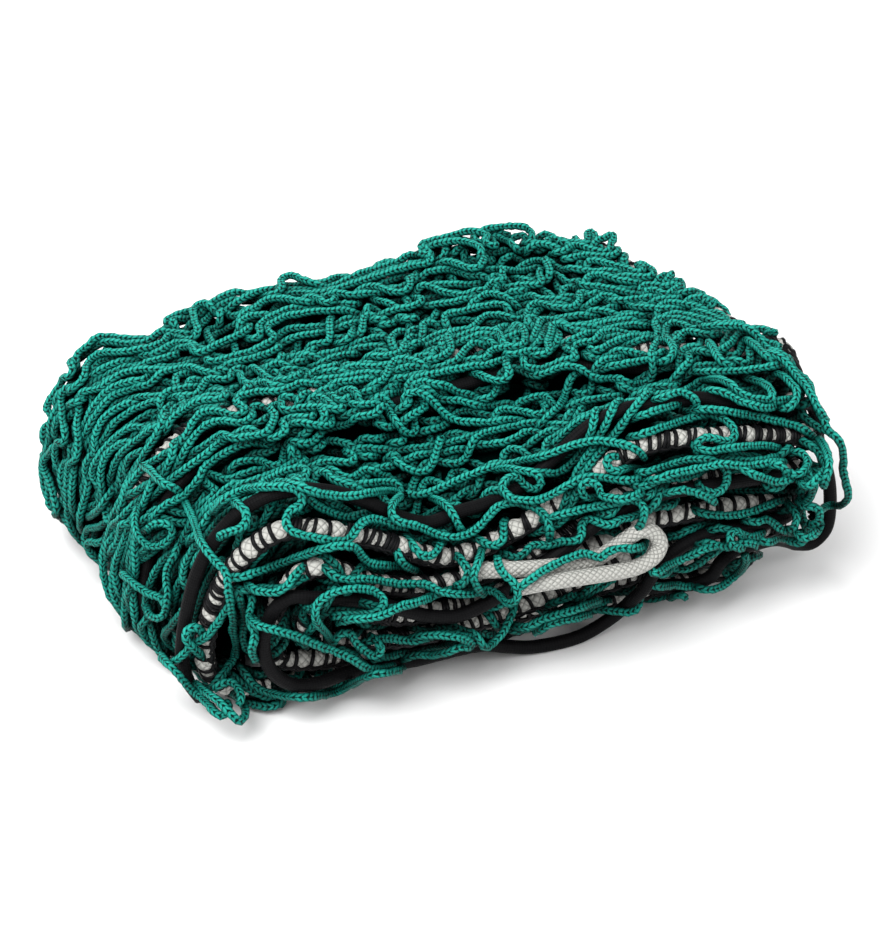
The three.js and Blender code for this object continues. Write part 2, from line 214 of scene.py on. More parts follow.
DRAW_CORD = (
    Spot(-26.5, -89.5, 66.2),
    Spot(-19.6, -91, 64.4),
    Spot(-12.3, -93, 62.9),
    Spot(-3.5, -95.4, 60.7),
    Spot(5.4, -96.8, 57.9),
    Spot(15.0, -96.8, 51.4),
    Spot(23.9, -96.8, 48.6),
    Spot(30.4, -96.8, 47.5),
    Spot(36.1, -96.8, 49.3),
    Spot(40.9, -97, 50.1),
    Spot(45.4, -97.6, 47.5),
    Spot(47.4, -98.8, 43.6),
    Spot(45.0, -100, 40.9),
    Spot(38.2, -101.3, 40.2),
    Spot(27.9, -102.3, 43.2),
    Spot(16.1, -102.8, 49.0),
    Spot(4.6, -102.8, 55.9),
    Spot(-2.8, -102.2, 57.7),
    Spot(-10.0, -101, 58.9),
)

OverTop = namedtuple("OverTop", "y_right y_left y_foot clear")
SET_BACK_ROPE_LINE = OverTop(-37, -4, -16, 0)
SET_BACK_ELASTIC_LINE = OverTop(-47, -20, -32, 0)
TOP_ELASTIC_LINE = OverTop(-74, -73, -70, 7)
TOP_STEPS = 16
TOP_SWING = 0.45
TOP_INSET = 4.0
TOP_WANDER = 2.5
DIP_MIDDLE = -40.0
DIP_REACH = 36.0
LEFT_STEPS = 9
LEFT_SWEEP = 0.77 * math.pi
END_SHARES = (0.94, 0.62, 0.3, 0, -0.3, -0.6, -0.85)
CORNER_STEPS = 4
ROUTE_SPAN = 12

# How the net's cords lie on the strip, in millimetres along it, across it and off it
Ease = namedtuple("Ease", "start stop")
Bump = namedtuple("Bump", "middle reach flat")
Drift = namedtuple("Drift", "shortest longest swing chance")
Wave = namedtuple("Wave", "swing chance")
LaidOver = namedtuple("LaidOver", "way wide high chance")

# How far before the outermost fold its closer rows, its loose lay and its press begin
OUTER_LEAD = 10.0
LOOSE_LEAD = 30.0
FREE_LEAD = 12.0

# The two sheets of cords side by side, and their drifts along and across
FREE_FRONT = 2.0
START_OVERHANG = 6.0
END_OVERHANG = 7.0
EDGE_INSET = 1.0
UPPER_SET_IN = 13.0
SHEET_OFFSET = 2.2
SHEET_SHIFT = 400.0
DRIFT_WAVES = 7
DRIFTS = (
    Drift(50, 140, 6.0, 5.0),
    Drift(40, 110, 3.6, 2.4),
)
LIFT_CHANCE = 1.1
OUTER_LIFT = 1.6
END_LIFT_CHANCE = 3.5
JUNCTION_GAP = 0.9

# The right end's cords, drawn back from the border rope
END_EASE = 30.0
END_DRIFT = 0.35
BACK_SHORT = 4.5
BACK_SHORT_Y = Ease(-60, -10)
MIDDLE_SHORT = 3.5
MIDDLE_SHORT_Y = Bump(-20, 25, 1.6)

# The top's back edge, the foot of the left fold and the flat side above it
TOP_START = 60.0
UPPER_START = 40.0
BACK_EDGE_RIGHT = Ease(90, 60)
BACK_EDGE_LEFT = Ease(-85, -55)
BACK_EDGE_Y = Ease(35, 65)
BACK_EDGE_REACH = 2.5
BACK_EDGE_RISE = 1.3
BACK_EDGE_LIMIT = 1.5
BACK_PAST = 0.5
BACK_OVER = 2.0
BACK_OVER_RIGHT = Ease(70, 30)
BACK_OVER_LEFT = Ease(-90, -65)
LEFT_SWELL = 4.0
LEFT_SWELL_X = Ease(-95, -107)
LEFT_SWELL_Y = Ease(-10, 30)
LEFT_SWELL_Z = Ease(32, 20)
LEFT_FLAT = 2.0
LEFT_FLAT_X = Ease(-100, -120)
UNPRESSED = 1e6

# Ropes and elastics that the outermost fold's cords lie over
LAID_OVER = (
    LaidOver(SET_BACK_ROPE_LINE, 13, 14.5, 0.8),
    LaidOver(SET_BACK_ELASTIC_LINE, 12, 13.5, 0.72),
    LaidOver(TOP_ELASTIC_LINE, 11, 13.5, 0.12),
)
OVER_FLAT = 1.35
OVER_LIMIT = 15.0
OVER_LIMIT_REACH = 12.0
OVER_LIMIT_FLAT = 1.5
BARE_STRETCH = Ease(78, 108)
BARE_CHANCE = 0.3
LOW_END = 0.4
LOW_END_X = Ease(88, 108)
CROSSING_REACH = 0.22
PASS_ROPE = 5.5
ROPE_AHEAD = 5.0

# Cords that spill over the border rope
SPILL_LEVEL = Ease(8, 38)
SPILL_CHANCE = (0.7, 0.2)
LOW_SPILL = (2, 6)
HIGH_SPILL = (4, 11)
SPILL_SWAY = (1.5, 8.0)
TOP_SPILL_START = 40.0
TOP_SPILL_CORDS = 4
TOP_SPILL_CHANCE = 0.6
TOP_SWAY = (-9, 2)

# How a stretch of cord waves between its junctions
STRETCH_WAVES = (Wave(0.6, 0.2), Wave(0.7, 0.25), Wave(0.35, 0.15))
STRETCH_WAVE_COUNT = 8
STRETCH_WAVE_LENGTHS = (45, 120)
ACROSS_SQUEEZE = 1.5
CURL_SNAKE = 0.2
CURL_RIPPLE = 0.1
LEAST_RIPPLE = 0.12
CURL_LAG = 0.75
PLAIN_LAG = 0.3
RISE_CHANCE = 0.25
OUTER_RISE = 0.12
FIRST_WAVE = 6.0
LEAST_WAVE = 0.1
MOST_WAVE = 22.0
WAVE_GROW = 1.08
WAVE_SHRINK = 0.93
WAVE_ROUNDS = 24

# How the cords settle; lengths of ties and the floor clearance are in cord radii, of bends in steps
FLOOR_CLEARANCE = 1.2
STATION_STEP = 2.5
LEAST_GAP = 1e-6
PAIR_ROUNDS = 6
PUSH_STRENGTH = 0.55
MOST_MOVE = 1.2
TIE_LENGTH = 1.75
TIE_STRENGTH = 0.7
BEND_LENGTH = 1.8
BEND_STRENGTH = 0.5
HOME_PULL = 0.012
PRESS_STRENGTH = 0.5
FIRST_TO_LAST_ROUNDS = 6

# The front loops, and the planes x, y and z on which they lie where nothing is behind them
LOOP_CLEARANCE = 0.3
LOOP_SPAN = 8
LOOP_SMOOTHINGS = 3
LOOP_TUCK = 7.0
LOOP_TUCK_POINTS = 3.0
WALLS = (-126.0, -84.0, 86.0)

# The net's meshes; the opening is half a mesh's angle where the net would lie flat
MESH_OPENING = math.radians(22)
RINGS_PER_STEP = 2
SHOWN_SIDES = 6
PLAIN_SIDES = 4
LUMPS = (0.8, 1.16)
STITCH_STAGGER = 0.37
VIEW_SHARE = 0.2
LOWEST_LOOK = -0.3
# LOWEST_LIGHT: look directions lower than this count as shut in the painted shade.
LOWEST_LIGHT = -0.2

# The dark sheet inside the outermost fold, painted shade where the pack's inside shows through the gaps; its
# flat width is in metres
INSIDE_WIDTH = 0.14
INSIDE_LEAD = 6.0
INSIDE_SHORT = 9.0
INSIDE_FRONT = 9.0
INSIDE_BACK = 1.0
INSIDE_DEPTH = -5.2
INSIDE_BACK_RISE = 2.4
INSIDE_BACK_Y = Ease(40, 70)
INSIDE_WAVE = 0.8
INSIDE_WAVE_COUNT = 6
INSIDE_WAVE_LENGTHS = (25, 70)
INSIDE_ROWS = 25
INSIDE_COLUMNS = 96

# The picture's size, and loops of the net that lie over the ropes at the front, traced as its points
PICTURE_WIDE = 893
PICTURE_HIGH = 945
FRONT_LOOPS = (
    ((355, 601), (385, 608), (407, 606), (429, 597), (451, 590), (478, 586)),
    ((326, 643), (355, 656), (370, 669), (392, 671), (407, 665)),
    ((355, 645), (385, 638), (414, 641), (443, 634), (476, 638)),
    ((370, 660), (407, 652), (443, 645), (473, 641)),
    ((516, 631), (534, 626), (547, 618), (565, 613), (580, 608), (598, 603), (613, 598)),
    ((534, 633), (554, 623), (577, 618), (593, 613)),
    ((646, 582), (659, 587), (674, 585), (687, 587), (699, 582)),
    ((669, 598), (680, 595), (688, 599)),
    ((703, 533), (720, 528), (737, 533), (753, 537), (767, 530)),
    ((690, 547), (707, 543), (727, 547), (747, 543), (760, 547)),
    ((773, 513), (790, 510), (803, 520), (807, 533), (793, 540), (780, 537)),
    ((600, 483), (620, 480), (640, 487), (660, 480), (687, 477), (710, 467)),
    ((236, 580), (240, 598), (245, 618), (243, 638), (249, 654)),
    ((247, 584), (252, 600), (249, 618), (255, 634), (252, 652), (258, 664)),
    ((229, 586), (244, 590), (262, 588), (280, 588), (296, 582), (312, 573)),
    ((250, 616), (262, 627), (280, 630), (300, 638), (322, 642)),
    ((184, 500), (189, 510), (195, 524), (200, 539), (208, 552), (218, 564), (226, 573), (228, 587),
     (230, 602), (233, 617), (233, 632), (236, 646), (234, 658), (227, 668), (219, 679), (209, 689),
     (197, 689)),
    ((200, 531), (206, 520), (213, 510), (220, 502), (229, 499), (238, 504), (245, 511), (247, 519),
     (242, 527), (233, 531), (224, 534), (215, 541)),
    ((214, 512), (222, 502), (232, 495), (245, 489), (260, 487), (278, 487), (292, 488), (302, 496),
     (300, 505), (290, 511), (286, 521), (291, 531), (303, 535), (318, 538), (334, 541), (348, 540),
     (355, 532), (361, 523), (370, 519), (382, 520), (395, 525), (410, 529)),
    ((285, 482), (298, 486), (312, 491), (330, 495), (350, 496), (370, 493), (388, 491), (404, 494),
     (420, 495), (436, 490), (452, 483), (468, 476), (484, 470), (497, 466), (512, 463), (530, 459),
     (547, 455), (562, 449), (578, 444), (595, 441), (612, 442), (628, 446), (641, 453), (646, 462)),
    ((404, 494), (396, 500), (392, 507), (392, 515), (398, 521), (408, 524), (420, 527), (430, 531),
     (442, 536), (455, 537), (468, 534), (478, 528), (487, 518), (495, 509), (505, 504), (518, 503),
     (531, 506), (542, 513), (548, 522), (550, 533), (548, 545)),
    ((428, 498), (440, 501), (448, 507), (454, 516), (458, 525), (464, 534)),
    ((492, 471), (505, 468), (518, 470), (530, 472), (539, 477), (541, 485), (534, 490), (525, 485),
     (519, 478), (510, 477), (503, 483), (504, 492), (512, 498), (524, 500), (538, 500), (551, 495),
     (563, 488), (576, 481), (590, 477), (604, 478), (618, 480), (632, 480), (645, 478)),
    ((541, 520), (556, 516), (572, 512), (588, 508), (604, 505), (620, 502), (633, 500), (642, 505),
     (644, 515), (640, 526), (633, 533)),
    ((600, 497), (589, 498), (582, 494), (582, 486), (589, 482), (598, 486), (600, 494), (610, 498),
     (622, 499), (634, 496), (645, 490)),
    ((640, 470), (628, 468), (616, 471), (607, 466), (608, 458), (617, 457), (624, 463)),
    ((226, 577), (240, 577), (254, 573), (268, 568), (282, 563), (297, 557), (312, 552), (327, 548),
     (342, 546), (356, 548), (362, 556), (368, 562), (382, 565), (398, 566), (412, 570)),
    ((320, 561), (327, 570), (336, 577), (350, 580), (366, 579), (382, 581), (398, 584), (414, 584),
     (428, 585), (440, 591), (456, 594), (474, 594), (490, 590), (499, 595), (507, 603), (515, 601),
     (518, 592), (513, 582), (503, 573), (498, 563), (497, 553)),
    ((245, 583), (254, 589), (265, 592), (277, 592), (287, 586), (293, 578), (300, 570), (310, 563)),
    ((333, 644), (327, 634), (318, 624), (315, 612), (320, 601), (331, 594), (345, 590), (361, 589),
     (376, 592), (384, 600), (381, 609), (370, 614), (355, 615), (340, 615), (328, 617)),
    ((338, 622), (355, 619), (372, 618), (388, 613), (402, 606), (418, 602), (434, 597)),
    ((248, 617), (255, 624), (267, 628), (280, 631), (293, 635), (306, 640), (319, 646), (333, 651),
     (348, 657), (360, 664), (371, 669), (384, 668), (396, 664)),
    ((331, 645), (340, 634), (349, 632), (355, 641), (364, 650), (374, 656), (381, 650), (376, 640),
     (366, 633)),
    ((160, 655), (168, 664), (178, 674), (187, 685), (197, 694), (207, 703), (216, 713), (224, 716),
     (229, 708), (224, 699)),
    ((196, 683), (206, 692), (216, 699), (226, 708), (234, 717), (241, 721), (246, 713), (243, 703),
     (236, 696), (228, 689)),
    ((214, 690), (223, 684), (232, 682), (239, 690), (241, 701), (236, 708)),
    ((236, 664), (245, 673), (252, 683), (262, 690), (276, 694), (292, 697), (308, 697), (324, 695),
     (340, 690), (356, 682), (371, 675), (387, 673), (403, 669)),
    ((203, 657), (195, 649), (187, 641), (186, 632), (193, 627), (201, 630), (205, 639)),
    ((512, 592), (523, 585), (534, 577), (546, 569), (560, 562), (574, 556), (588, 553), (598, 558),
     (608, 552), (620, 548), (634, 549), (646, 544)),
    ((628, 438), (643, 434), (659, 428), (675, 423), (691, 418), (706, 414), (719, 417), (730, 424),
     (735, 433), (730, 441), (720, 440), (708, 437), (699, 441), (697, 450), (705, 457), (720, 458),
     (736, 460), (752, 461), (768, 459), (782, 455)),
    ((684, 412), (700, 409), (718, 410), (736, 413), (754, 416), (772, 420), (790, 424), (803, 429),
     (813, 437), (822, 446), (828, 457), (826, 468), (818, 474)),
    ((795, 402), (801, 412), (807, 420), (818, 427), (830, 433), (840, 442), (843, 456), (843, 470),
     (846, 484), (848, 496), (844, 504), (834, 505), (823, 508), (815, 516), (806, 522)),
    ((805, 472), (802, 486), (801, 501), (802, 515), (806, 528), (815, 533), (820, 525), (817, 514),
     (806, 509)),
    ((634, 474), (650, 471), (666, 466), (682, 461), (698, 459), (713, 461), (724, 467), (727, 478),
     (722, 489), (711, 493), (700, 487), (695, 479)),
    ((640, 482), (655, 480), (672, 474), (690, 470), (706, 467), (722, 464), (738, 466), (755, 465),
     (772, 462), (788, 462)),
    ((765, 470), (775, 464), (785, 470), (784, 482), (774, 488), (764, 483), (770, 474)),
    ((686, 505), (700, 512), (716, 515), (733, 515), (750, 512), (766, 506), (780, 500), (792, 497)),
    ((690, 585), (704, 590), (718, 588), (730, 580), (741, 570), (746, 560), (742, 550)),
    ((650, 565), (655, 575), (662, 569), (675, 562), (690, 556), (705, 549), (720, 545)),
    ((405, 640), (420, 636), (436, 635), (452, 637), (466, 640), (474, 648)),
    ((400, 660), (416, 655), (432, 655), (448, 652), (462, 647), (474, 648)),
    ((512, 625), (526, 627), (540, 620), (556, 615), (572, 611), (588, 604), (602, 598)),
    ((540, 607), (553, 603), (566, 598), (580, 592)),
    ((398, 541), (396, 550), (400, 559), (408, 567), (420, 572)),
    ((404, 536), (412, 544), (420, 554), (430, 556), (438, 549), (441, 539)),
    ((452, 553), (462, 561), (468, 572), (463, 583), (451, 587)),
    ((482, 548), (479, 560), (474, 574), (477, 588), (487, 597)),
    ((700, 328), (715, 326), (730, 326), (745, 327), (755, 333), (762, 343), (770, 350), (782, 354),
     (790, 362), (796, 372), (806, 380), (812, 392), (809, 402), (799, 405), (788, 402)),
    ((740, 373), (755, 369), (770, 368), (785, 371), (797, 378), (806, 388), (813, 398), (817, 409),
     (824, 420), (828, 430), (836, 438)),
    ((690, 373), (705, 372), (722, 372), (740, 371), (757, 369), (772, 366), (785, 362), (793, 356)),
    ((700, 381), (715, 379), (728, 383), (738, 391), (748, 397), (760, 399), (773, 401), (785, 400),
     (797, 397), (805, 391)),
    ((708, 342), (714, 350), (719, 359), (727, 365), (737, 368)),
    ((745, 340), (755, 345), (762, 352), (770, 359), (782, 363)),
    ((666, 338), (673, 346), (673, 355), (665, 361), (653, 363)),
    ((799, 448), (809, 446), (820, 449), (827, 457), (822, 466), (811, 464), (803, 458)),
    ((803, 482), (811, 477), (815, 486), (809, 496), (801, 504)),
    ((742, 519), (756, 522), (768, 519), (776, 526), (786, 531), (798, 533), (807, 530)),
    ((757, 538), (768, 543), (779, 538), (789, 541), (799, 543), (807, 537)),
    ((742, 541), (739, 532), (731, 532), (730, 541), (737, 548), (746, 546)),
    ((738, 466), (750, 473), (763, 478), (776, 482), (788, 480), (797, 474)),
    ((138, 505), (135, 520), (137, 533), (145, 543), (155, 547), (165, 543), (172, 535), (170, 526),
     (160, 523), (150, 527), (147, 535)),
    ((143, 466), (151, 471), (158, 479), (167, 485), (177, 490), (184, 497)),
    ((122, 574), (131, 581), (140, 588), (150, 594), (160, 598), (166, 606), (163, 616), (154, 618),
     (148, 610), (152, 602)),
    ((180, 541), (176, 553), (170, 564), (166, 577), (168, 590), (167, 603), (165, 617)),
    ((690, 440), (697, 447), (708, 451), (722, 449), (738, 447), (754, 446), (769, 446), (782, 450)),
    ((660, 494), (672, 492), (684, 490), (697, 493), (710, 499), (718, 505)),
    ((765, 352), (778, 356), (788, 364), (795, 374), (803, 383), (810, 393), (816, 404), (822, 414),
     (829, 424)),
    ((772, 372), (783, 376), (792, 384), (797, 394), (793, 404), (784, 409), (776, 404)),
    ((805, 440), (815, 444), (823, 452), (827, 463), (820, 472), (808, 470), (800, 462)),
    ((788, 456), (798, 452), (807, 458), (806, 468), (797, 475), (787, 471)),
    ((800, 470), (806, 480), (812, 490), (808, 500), (800, 508), (796, 520)),
    ((785, 500), (792, 508), (797, 518), (793, 528), (783, 530)),
    ((650, 401), (664, 397), (678, 392), (690, 396), (697, 404), (691, 411)),
    ((705, 392), (716, 390), (728, 395), (740, 401), (752, 405), (765, 408), (777, 406)),
    ((628, 421), (640, 416), (655, 411), (668, 407), (682, 403)),
    ((742, 378), (756, 381), (768, 387), (772, 396), (766, 404)),
    ((796, 440), (806, 443), (815, 449), (822, 458), (826, 470), (822, 480), (812, 478), (806, 470)),
    ((798, 478), (806, 487), (814, 482), (821, 474), (828, 466)),
    ((798, 500), (806, 508), (814, 506), (820, 514), (815, 524), (805, 522)),
    ((792, 528), (802, 538), (812, 536), (819, 528)),
    ((818, 438), (825, 449), (829, 462), (827, 476), (821, 489)),
)


def smooth(t):
    """An eased step from 0 to 1."""
    c = np.clip(t, 0.0, 1.0)
    return c * c * (3 - 2 * c)


def ramp(value, start, stop):
    """An eased step from 0 at start to 1 at stop."""
    return smooth((value - start) / (stop - start))


def beside(value, middle, reach, flat=1.0):
    """An eased bump round the middle, down to nothing at flat times the reach from it."""
    return smooth(flat - np.abs(value - middle) / reach)


def mix(a, b, t):
    return a + (b - a) * t


def unit(vectors):
    """The vectors at length one."""
    return vectors / np.maximum(np.linalg.norm(vectors, axis=-1, keepdims=True), 1e-9)


def averaged(row):
    """Each inner point of a row blended with the two beside it."""
    return 0.25 * row[:-2] + 0.5 * row[1:-1] + 0.25 * row[2:]


def way_along(line):
    """How far along a line each of its points lies."""
    return np.r_[0, np.cumsum(np.linalg.norm(np.diff(line, axis=0), axis=1))]


def curve_between(t, start, stop, way_in, way_out):
    """A smooth curve from start to stop that has the given ways at its ends."""
    return (
        (2 * t**3 - 3 * t**2 + 1) * start
        + (t**3 - 2 * t**2 + t) * way_in
        + (3 * t**2 - 2 * t**3) * stop
        + (t**3 - t**2) * way_out
    )


def layer_height(layer):
    """The height of a layer's middle; the lowest layer is 1."""
    return LAYER_THICKNESS / 2 + (layer - 1) * LAYER_PITCH


def lift_at(rows, x):
    """How far an edge of the top layer sinks or stands up."""
    xs = np.array([row.x for row in rows], float)
    lifts = np.array([row.lift for row in rows])
    i = np.clip(np.searchsorted(xs, x, side="left") - 1, 0, len(xs) - 2)
    return mix(lifts[i], lifts[i + 1], smooth((x - xs[i]) / (xs[i + 1] - xs[i])))


def settle(x, y, z):
    """Bends the even pack to the uneven one; the floor plane stays flat."""
    x, y, z = (np.asarray(value, float) for value in (x, y, z))
    u = x / PACK_HALF_LENGTH
    v = y / PACK_HALF_DEPTH
    corner = smooth((np.abs(u) - CORNER_START) / (CORNER_STOP - CORNER_START))
    near_side = smooth((np.abs(v) - END_PULL_START) / (END_PULL_STOP - END_PULL_START))
    depth = 1 - CORNER_PULL * corner * np.minimum(np.abs(v), PULL_LIMIT)
    length = 1 - END_PULL * corner * near_side
    dome = DOME * np.maximum(0, 1 - u * u) * np.maximum(0, 1 - v * v)
    front = lift_at(FRONT_LIFTS, x) * smooth((-y - PACK_HALF_DEPTH + FRONT_REACH) / FRONT_REACH)
    back = lift_at(BACK_LIFTS, x) * smooth(v)
    rise = 1 + dome + (front + back) / PACK_HEIGHT
    left_ease = 1 - LEFT_EASE * smooth((-y - LEFT_EASE_START) / LEFT_EASE_REACH)
    left_foot = 1 - LEFT_FOOT * (1 - smooth(z / LEFT_FOOT_HEIGHT))
    left_push = LEFT_PUSH * left_ease * left_foot * smooth((LEFT_PUSH_START - y) / LEFT_PUSH_REACH)
    right_push = RIGHT_PUSH * smooth((y - RIGHT_PUSH_START) / RIGHT_PUSH_REACH)
    push = left_push * smooth(-u) - right_push * smooth(u)
    return np.stack(np.broadcast_arrays(x * length + push, y * depth, z * rise), axis=-1)


def strip_line(rows, leg_step, turn_steps):
    """The middle line of a strip: columns x, z, front and back."""
    line = []
    for index, row in enumerate(rows):
        start, stop = (row.right, row.left) if row.heading < 0 else (row.left, row.right)
        legs = max(1, int(abs(stop - start) / leg_step + 0.5))
        for t in np.linspace(0, 1, legs + 1):
            line.append((mix(start, stop, t), row.z, row.front, row.back))
        if index + 1 == len(rows):
            break
        after = rows[index + 1]
        after_start = after.right if after.heading < 0 else after.left
        for i in range(1, turn_steps):
            angle = math.pi * i / turn_steps
            t = (1 - math.cos(angle)) / 2
            line.append((
                mix(stop, after_start, t) + row.heading * row.reach * math.sin(angle),
                mix(row.z, after.z, t),
                mix(row.front, after.front, t),
                mix(row.back, after.back, t),
            ))
    return np.array(line)


def net_rows():
    return [
        Row(layer_height(fold.layer), *LAYERS[fold.layer - 1], fold.heading, fold.reach)
        for fold in FOLDS
    ]


class Strip:
    """The gathered net's middle surface: places by the way along it, across it and off it."""

    def __init__(self):
        self.x, self.z, self.fronts, self.backs = strip_line(net_rows(), leg_step=5, turn_steps=28).T
        self.s = np.r_[0, np.cumsum(np.hypot(np.diff(self.x), np.diff(self.z)))]
        self.length = self.s[-1]
        self.angles = np.unwrap(np.arctan2(np.gradient(self.z, self.s), np.gradient(self.x, self.s)))

    def x_at(self, s):
        return np.interp(s, self.s, self.x)

    def front(self, s):
        return np.interp(s, self.s, self.fronts)

    def back(self, s):
        return np.interp(s, self.s, self.backs)

    def place(self, s, y, h):
        angle = np.interp(s, self.s, self.angles)
        past = s - np.clip(s, 0, self.length)
        x = self.x_at(s) + np.cos(angle) * past - np.sin(angle) * h
        z = self.height(s) + np.sin(angle) * past + np.cos(angle) * h
        return settle(x, y, z)

    def height(self, s):
        return np.interp(s, self.s, self.z)

    def outermost(self):
        """Where the last three stretches start: the bottom layer, the left fold and the top."""
        lowest = np.flatnonzero(np.abs(self.z - layer_height(1)) < 1e-6)
        return self.s[lowest[-1]]


# Cord routes


def smooth_route(points, per_span):
    """A centripetal curve through the points."""
    points = np.asarray(points, float)
    full = np.vstack([2 * points[0] - points[1], points, 2 * points[-1] - points[-2]])
    p0, p1, p2, p3 = full[:-3], full[1:-2], full[2:-1], full[3:]
    d0, d1, d2 = (
        np.sqrt(np.linalg.norm(b - a, axis=1))[:, None] for a, b in ((p0, p1), (p1, p2), (p2, p3))
    )
    m1 = d1 * ((p1 - p0) / d0 - (p2 - p0) / (d0 + d1) + (p2 - p1) / d1)
    m2 = d1 * ((p2 - p1) / d1 - (p3 - p1) / (d1 + d2) + (p3 - p2) / d2)
    t = (np.arange(per_span) / per_span)[None, :, None]
    p1, p2, m1, m2 = (a[:, None, :] for a in (p1, p2, m1, m2))
    curve = curve_between(t, p1, p2, m1, m2)
    return np.vstack([curve.reshape(-1, 3), points[-1:]])


def even_steps(line, step):
    """The line with points an equal way apart."""
    along = way_along(line)
    count = max(2, int(round(along[-1] / step)) + 1)
    wanted = np.linspace(0, along[-1], count)
    return np.stack([np.interp(wanted, along, line[:, k]) for k in range(3)], axis=1)


def border_rope_route():
    out = ROPE_DIAMETER / 2 + ROPE_SEAT
    line = strip_line(net_rows(), leg_step=34, turn_steps=6)
    shares = np.array(END_SHARES)
    angles = np.linspace(0, math.pi / 2, CORNER_STEPS)

    def ending(p):
        x, z, front, back = p
        along = settle(x + out, shares * back, z)
        around = settle(x + out * np.cos(angles), front - out * np.sin(angles), z)
        return np.vstack([along, around])

    edge = settle(line[1:-1, 0], line[1:-1, 2] - out, line[1:-1, 1])
    return np.vstack([ending(line[0]), edge, ending(line[-1])[::-1]])


def over_top_route(diameter, way):
    out = LAYER_THICKNESS / 2 + SEAT + diameter / 2
    top = layer_height(6)
    middle = (layer_height(6) + layer_height(1)) / 2
    left, right = LAYERS[5].left, LAYERS[5].right
    t = np.arange(TOP_STEPS + 1) / TOP_STEPS
    wander = TOP_WANDER * np.sin(2 * math.pi * t)
    y = mix(way.y_right, way.y_left, smooth(t / TOP_SWING)) + wander
    x = mix(right - TOP_INSET, left, t)
    dip = beside(x, DIP_MIDDLE, DIP_REACH)
    across = settle(x, y, top + out + way.clear * dip)
    down = np.arange(1, LEFT_STEPS + 1) / LEFT_STEPS
    angle = LEFT_SWEEP * down
    reach = FOLDS[4].reach + out
    rise = top - middle + out
    y = mix(way.y_left, way.y_foot, down)
    foot = settle(left - reach * np.sin(angle), y, middle + rise * np.cos(angle))
    return np.vstack([across, foot])


def set_back_route(diameter, way):
    x, z = np.array(END_BEND).T
    return np.vstack([settle(x, way.y_right, z), over_top_route(diameter, way)])


def top_elastic_route():
    loop = settle(*np.array(RIGHT_LOOP).T)
    return np.vstack([loop, over_top_route(ELASTIC_DIAMETER, TOP_ELASTIC_LINE)])


def edge_elastic_route():
    return settle(*np.array(EDGE_ELASTIC).T)


def draw_cord_route():
    return settle(*np.array(DRAW_CORD).T)


def routes():
    """Every rope, elastic and draw cord as a smooth line with its diameter."""
    found = {
        "border_rope": (border_rope_route(), ROPE_DIAMETER),
        "set_back_rope": (set_back_route(ROPE_DIAMETER, SET_BACK_ROPE_LINE), ROPE_DIAMETER),
        "edge_elastic": (edge_elastic_route(), ELASTIC_DIAMETER),
        "top_elastic": (top_elastic_route(), ELASTIC_DIAMETER),
        "set_back_elastic": (set_back_route(ELASTIC_DIAMETER, SET_BACK_ELASTIC_LINE), ELASTIC_DIAMETER),
        "draw_cord": (draw_cord_route(), DRAW_CORD_DIAMETER),
    }
    return {name: (smooth_route(points, ROUTE_SPAN), d) for name, (points, d) in found.items()}


# Tubes and meshes


def frames_along(lines):
    """Two side vectors that don't twist, at the points of lines of one length: (cords, points, 3)."""
    ways = unit(np.gradient(lines, axis=1))
    sides = np.empty_like(lines)
    up = np.where(np.abs(ways[:, 0, 2:3]) < 0.9, [[0.0, 0.0, 1.0]], [[1.0, 0.0, 0.0]])
    side = np.cross(ways[:, 0], up)
    for k in range(lines.shape[1]):
        way = ways[:, k]
        side = unit(side - way * (side * way).sum(1, keepdims=True))
        sides[:, k] = side
    return sides, np.cross(ways, sides)


def tube_faces(shown, sides):
    """Quads and end caps for the rings that are shown; shown is (cords, rings)."""
    number = np.full(shown.shape, -1)
    number[shown] = np.arange(shown.sum())
    both = shown[:, :-1] & shown[:, 1:]
    first, second = number[:, :-1][both], number[:, 1:][both]
    a = np.arange(sides)
    b = (a + 1) % sides
    quads = np.stack([
        first[:, None] * sides + a,
        first[:, None] * sides + b,
        second[:, None] * sides + b,
        second[:, None] * sides + a,
    ], axis=-1).reshape(-1, 4)
    before = np.pad(shown, ((0, 0), (1, 0)))[:, :-1]
    after = np.pad(shown, ((0, 0), (0, 1)))[:, 1:]
    starts = number[shown & ~before]
    stops = number[shown & ~after]
    caps = np.vstack([starts[:, None] * sides + a[::-1], stops[:, None] * sides + a])
    return quads, caps


def mesh_object(name, points, faces, values=None, uvs=None):
    """A smooth mesh object from arrays: points in millimetres, faces as a list of index arrays."""
    mesh = bpy.data.meshes.new(name)
    loops = np.concatenate([f.ravel() for f in faces]).astype(np.int32)
    totals = np.concatenate([np.full(len(f), f.shape[1]) for f in faces])
    starts = np.r_[0, np.cumsum(totals)[:-1]].astype(np.int32)
    mesh.vertices.add(len(points))
    mesh.vertices.foreach_set("co", (points * MM).astype(np.float32).ravel())
    mesh.loops.add(len(loops))
    mesh.loops.foreach_set("vertex_index", loops)
    mesh.polygons.add(len(starts))
    mesh.polygons.foreach_set("loop_start", starts)
    mesh.update(calc_edges=True)
    mesh.shade_smooth()
    for label, numbers in (values or {}).items():
        layer = mesh.attributes.new(label, "FLOAT", "POINT")
        layer.data.foreach_set("value", numbers.astype(np.float32).ravel())
    if uvs is not None:
        layer = mesh.uv_layers.new(name="lay")
        corners = uvs[loops].astype(np.float32)
        quads = corners[:4 * len(faces[0])].reshape(-1, 4, 2)
        across_seam = np.ptp(quads[..., 1], axis=1) > 0.5
        quads[..., 1] += across_seam[:, None] & (quads[..., 1] < 0.5)
        layer.data.foreach_set("uv", corners.ravel())
    piece = bpy.data.objects.new(name, mesh)
    bpy.context.scene.collection.objects.link(piece)
    return piece


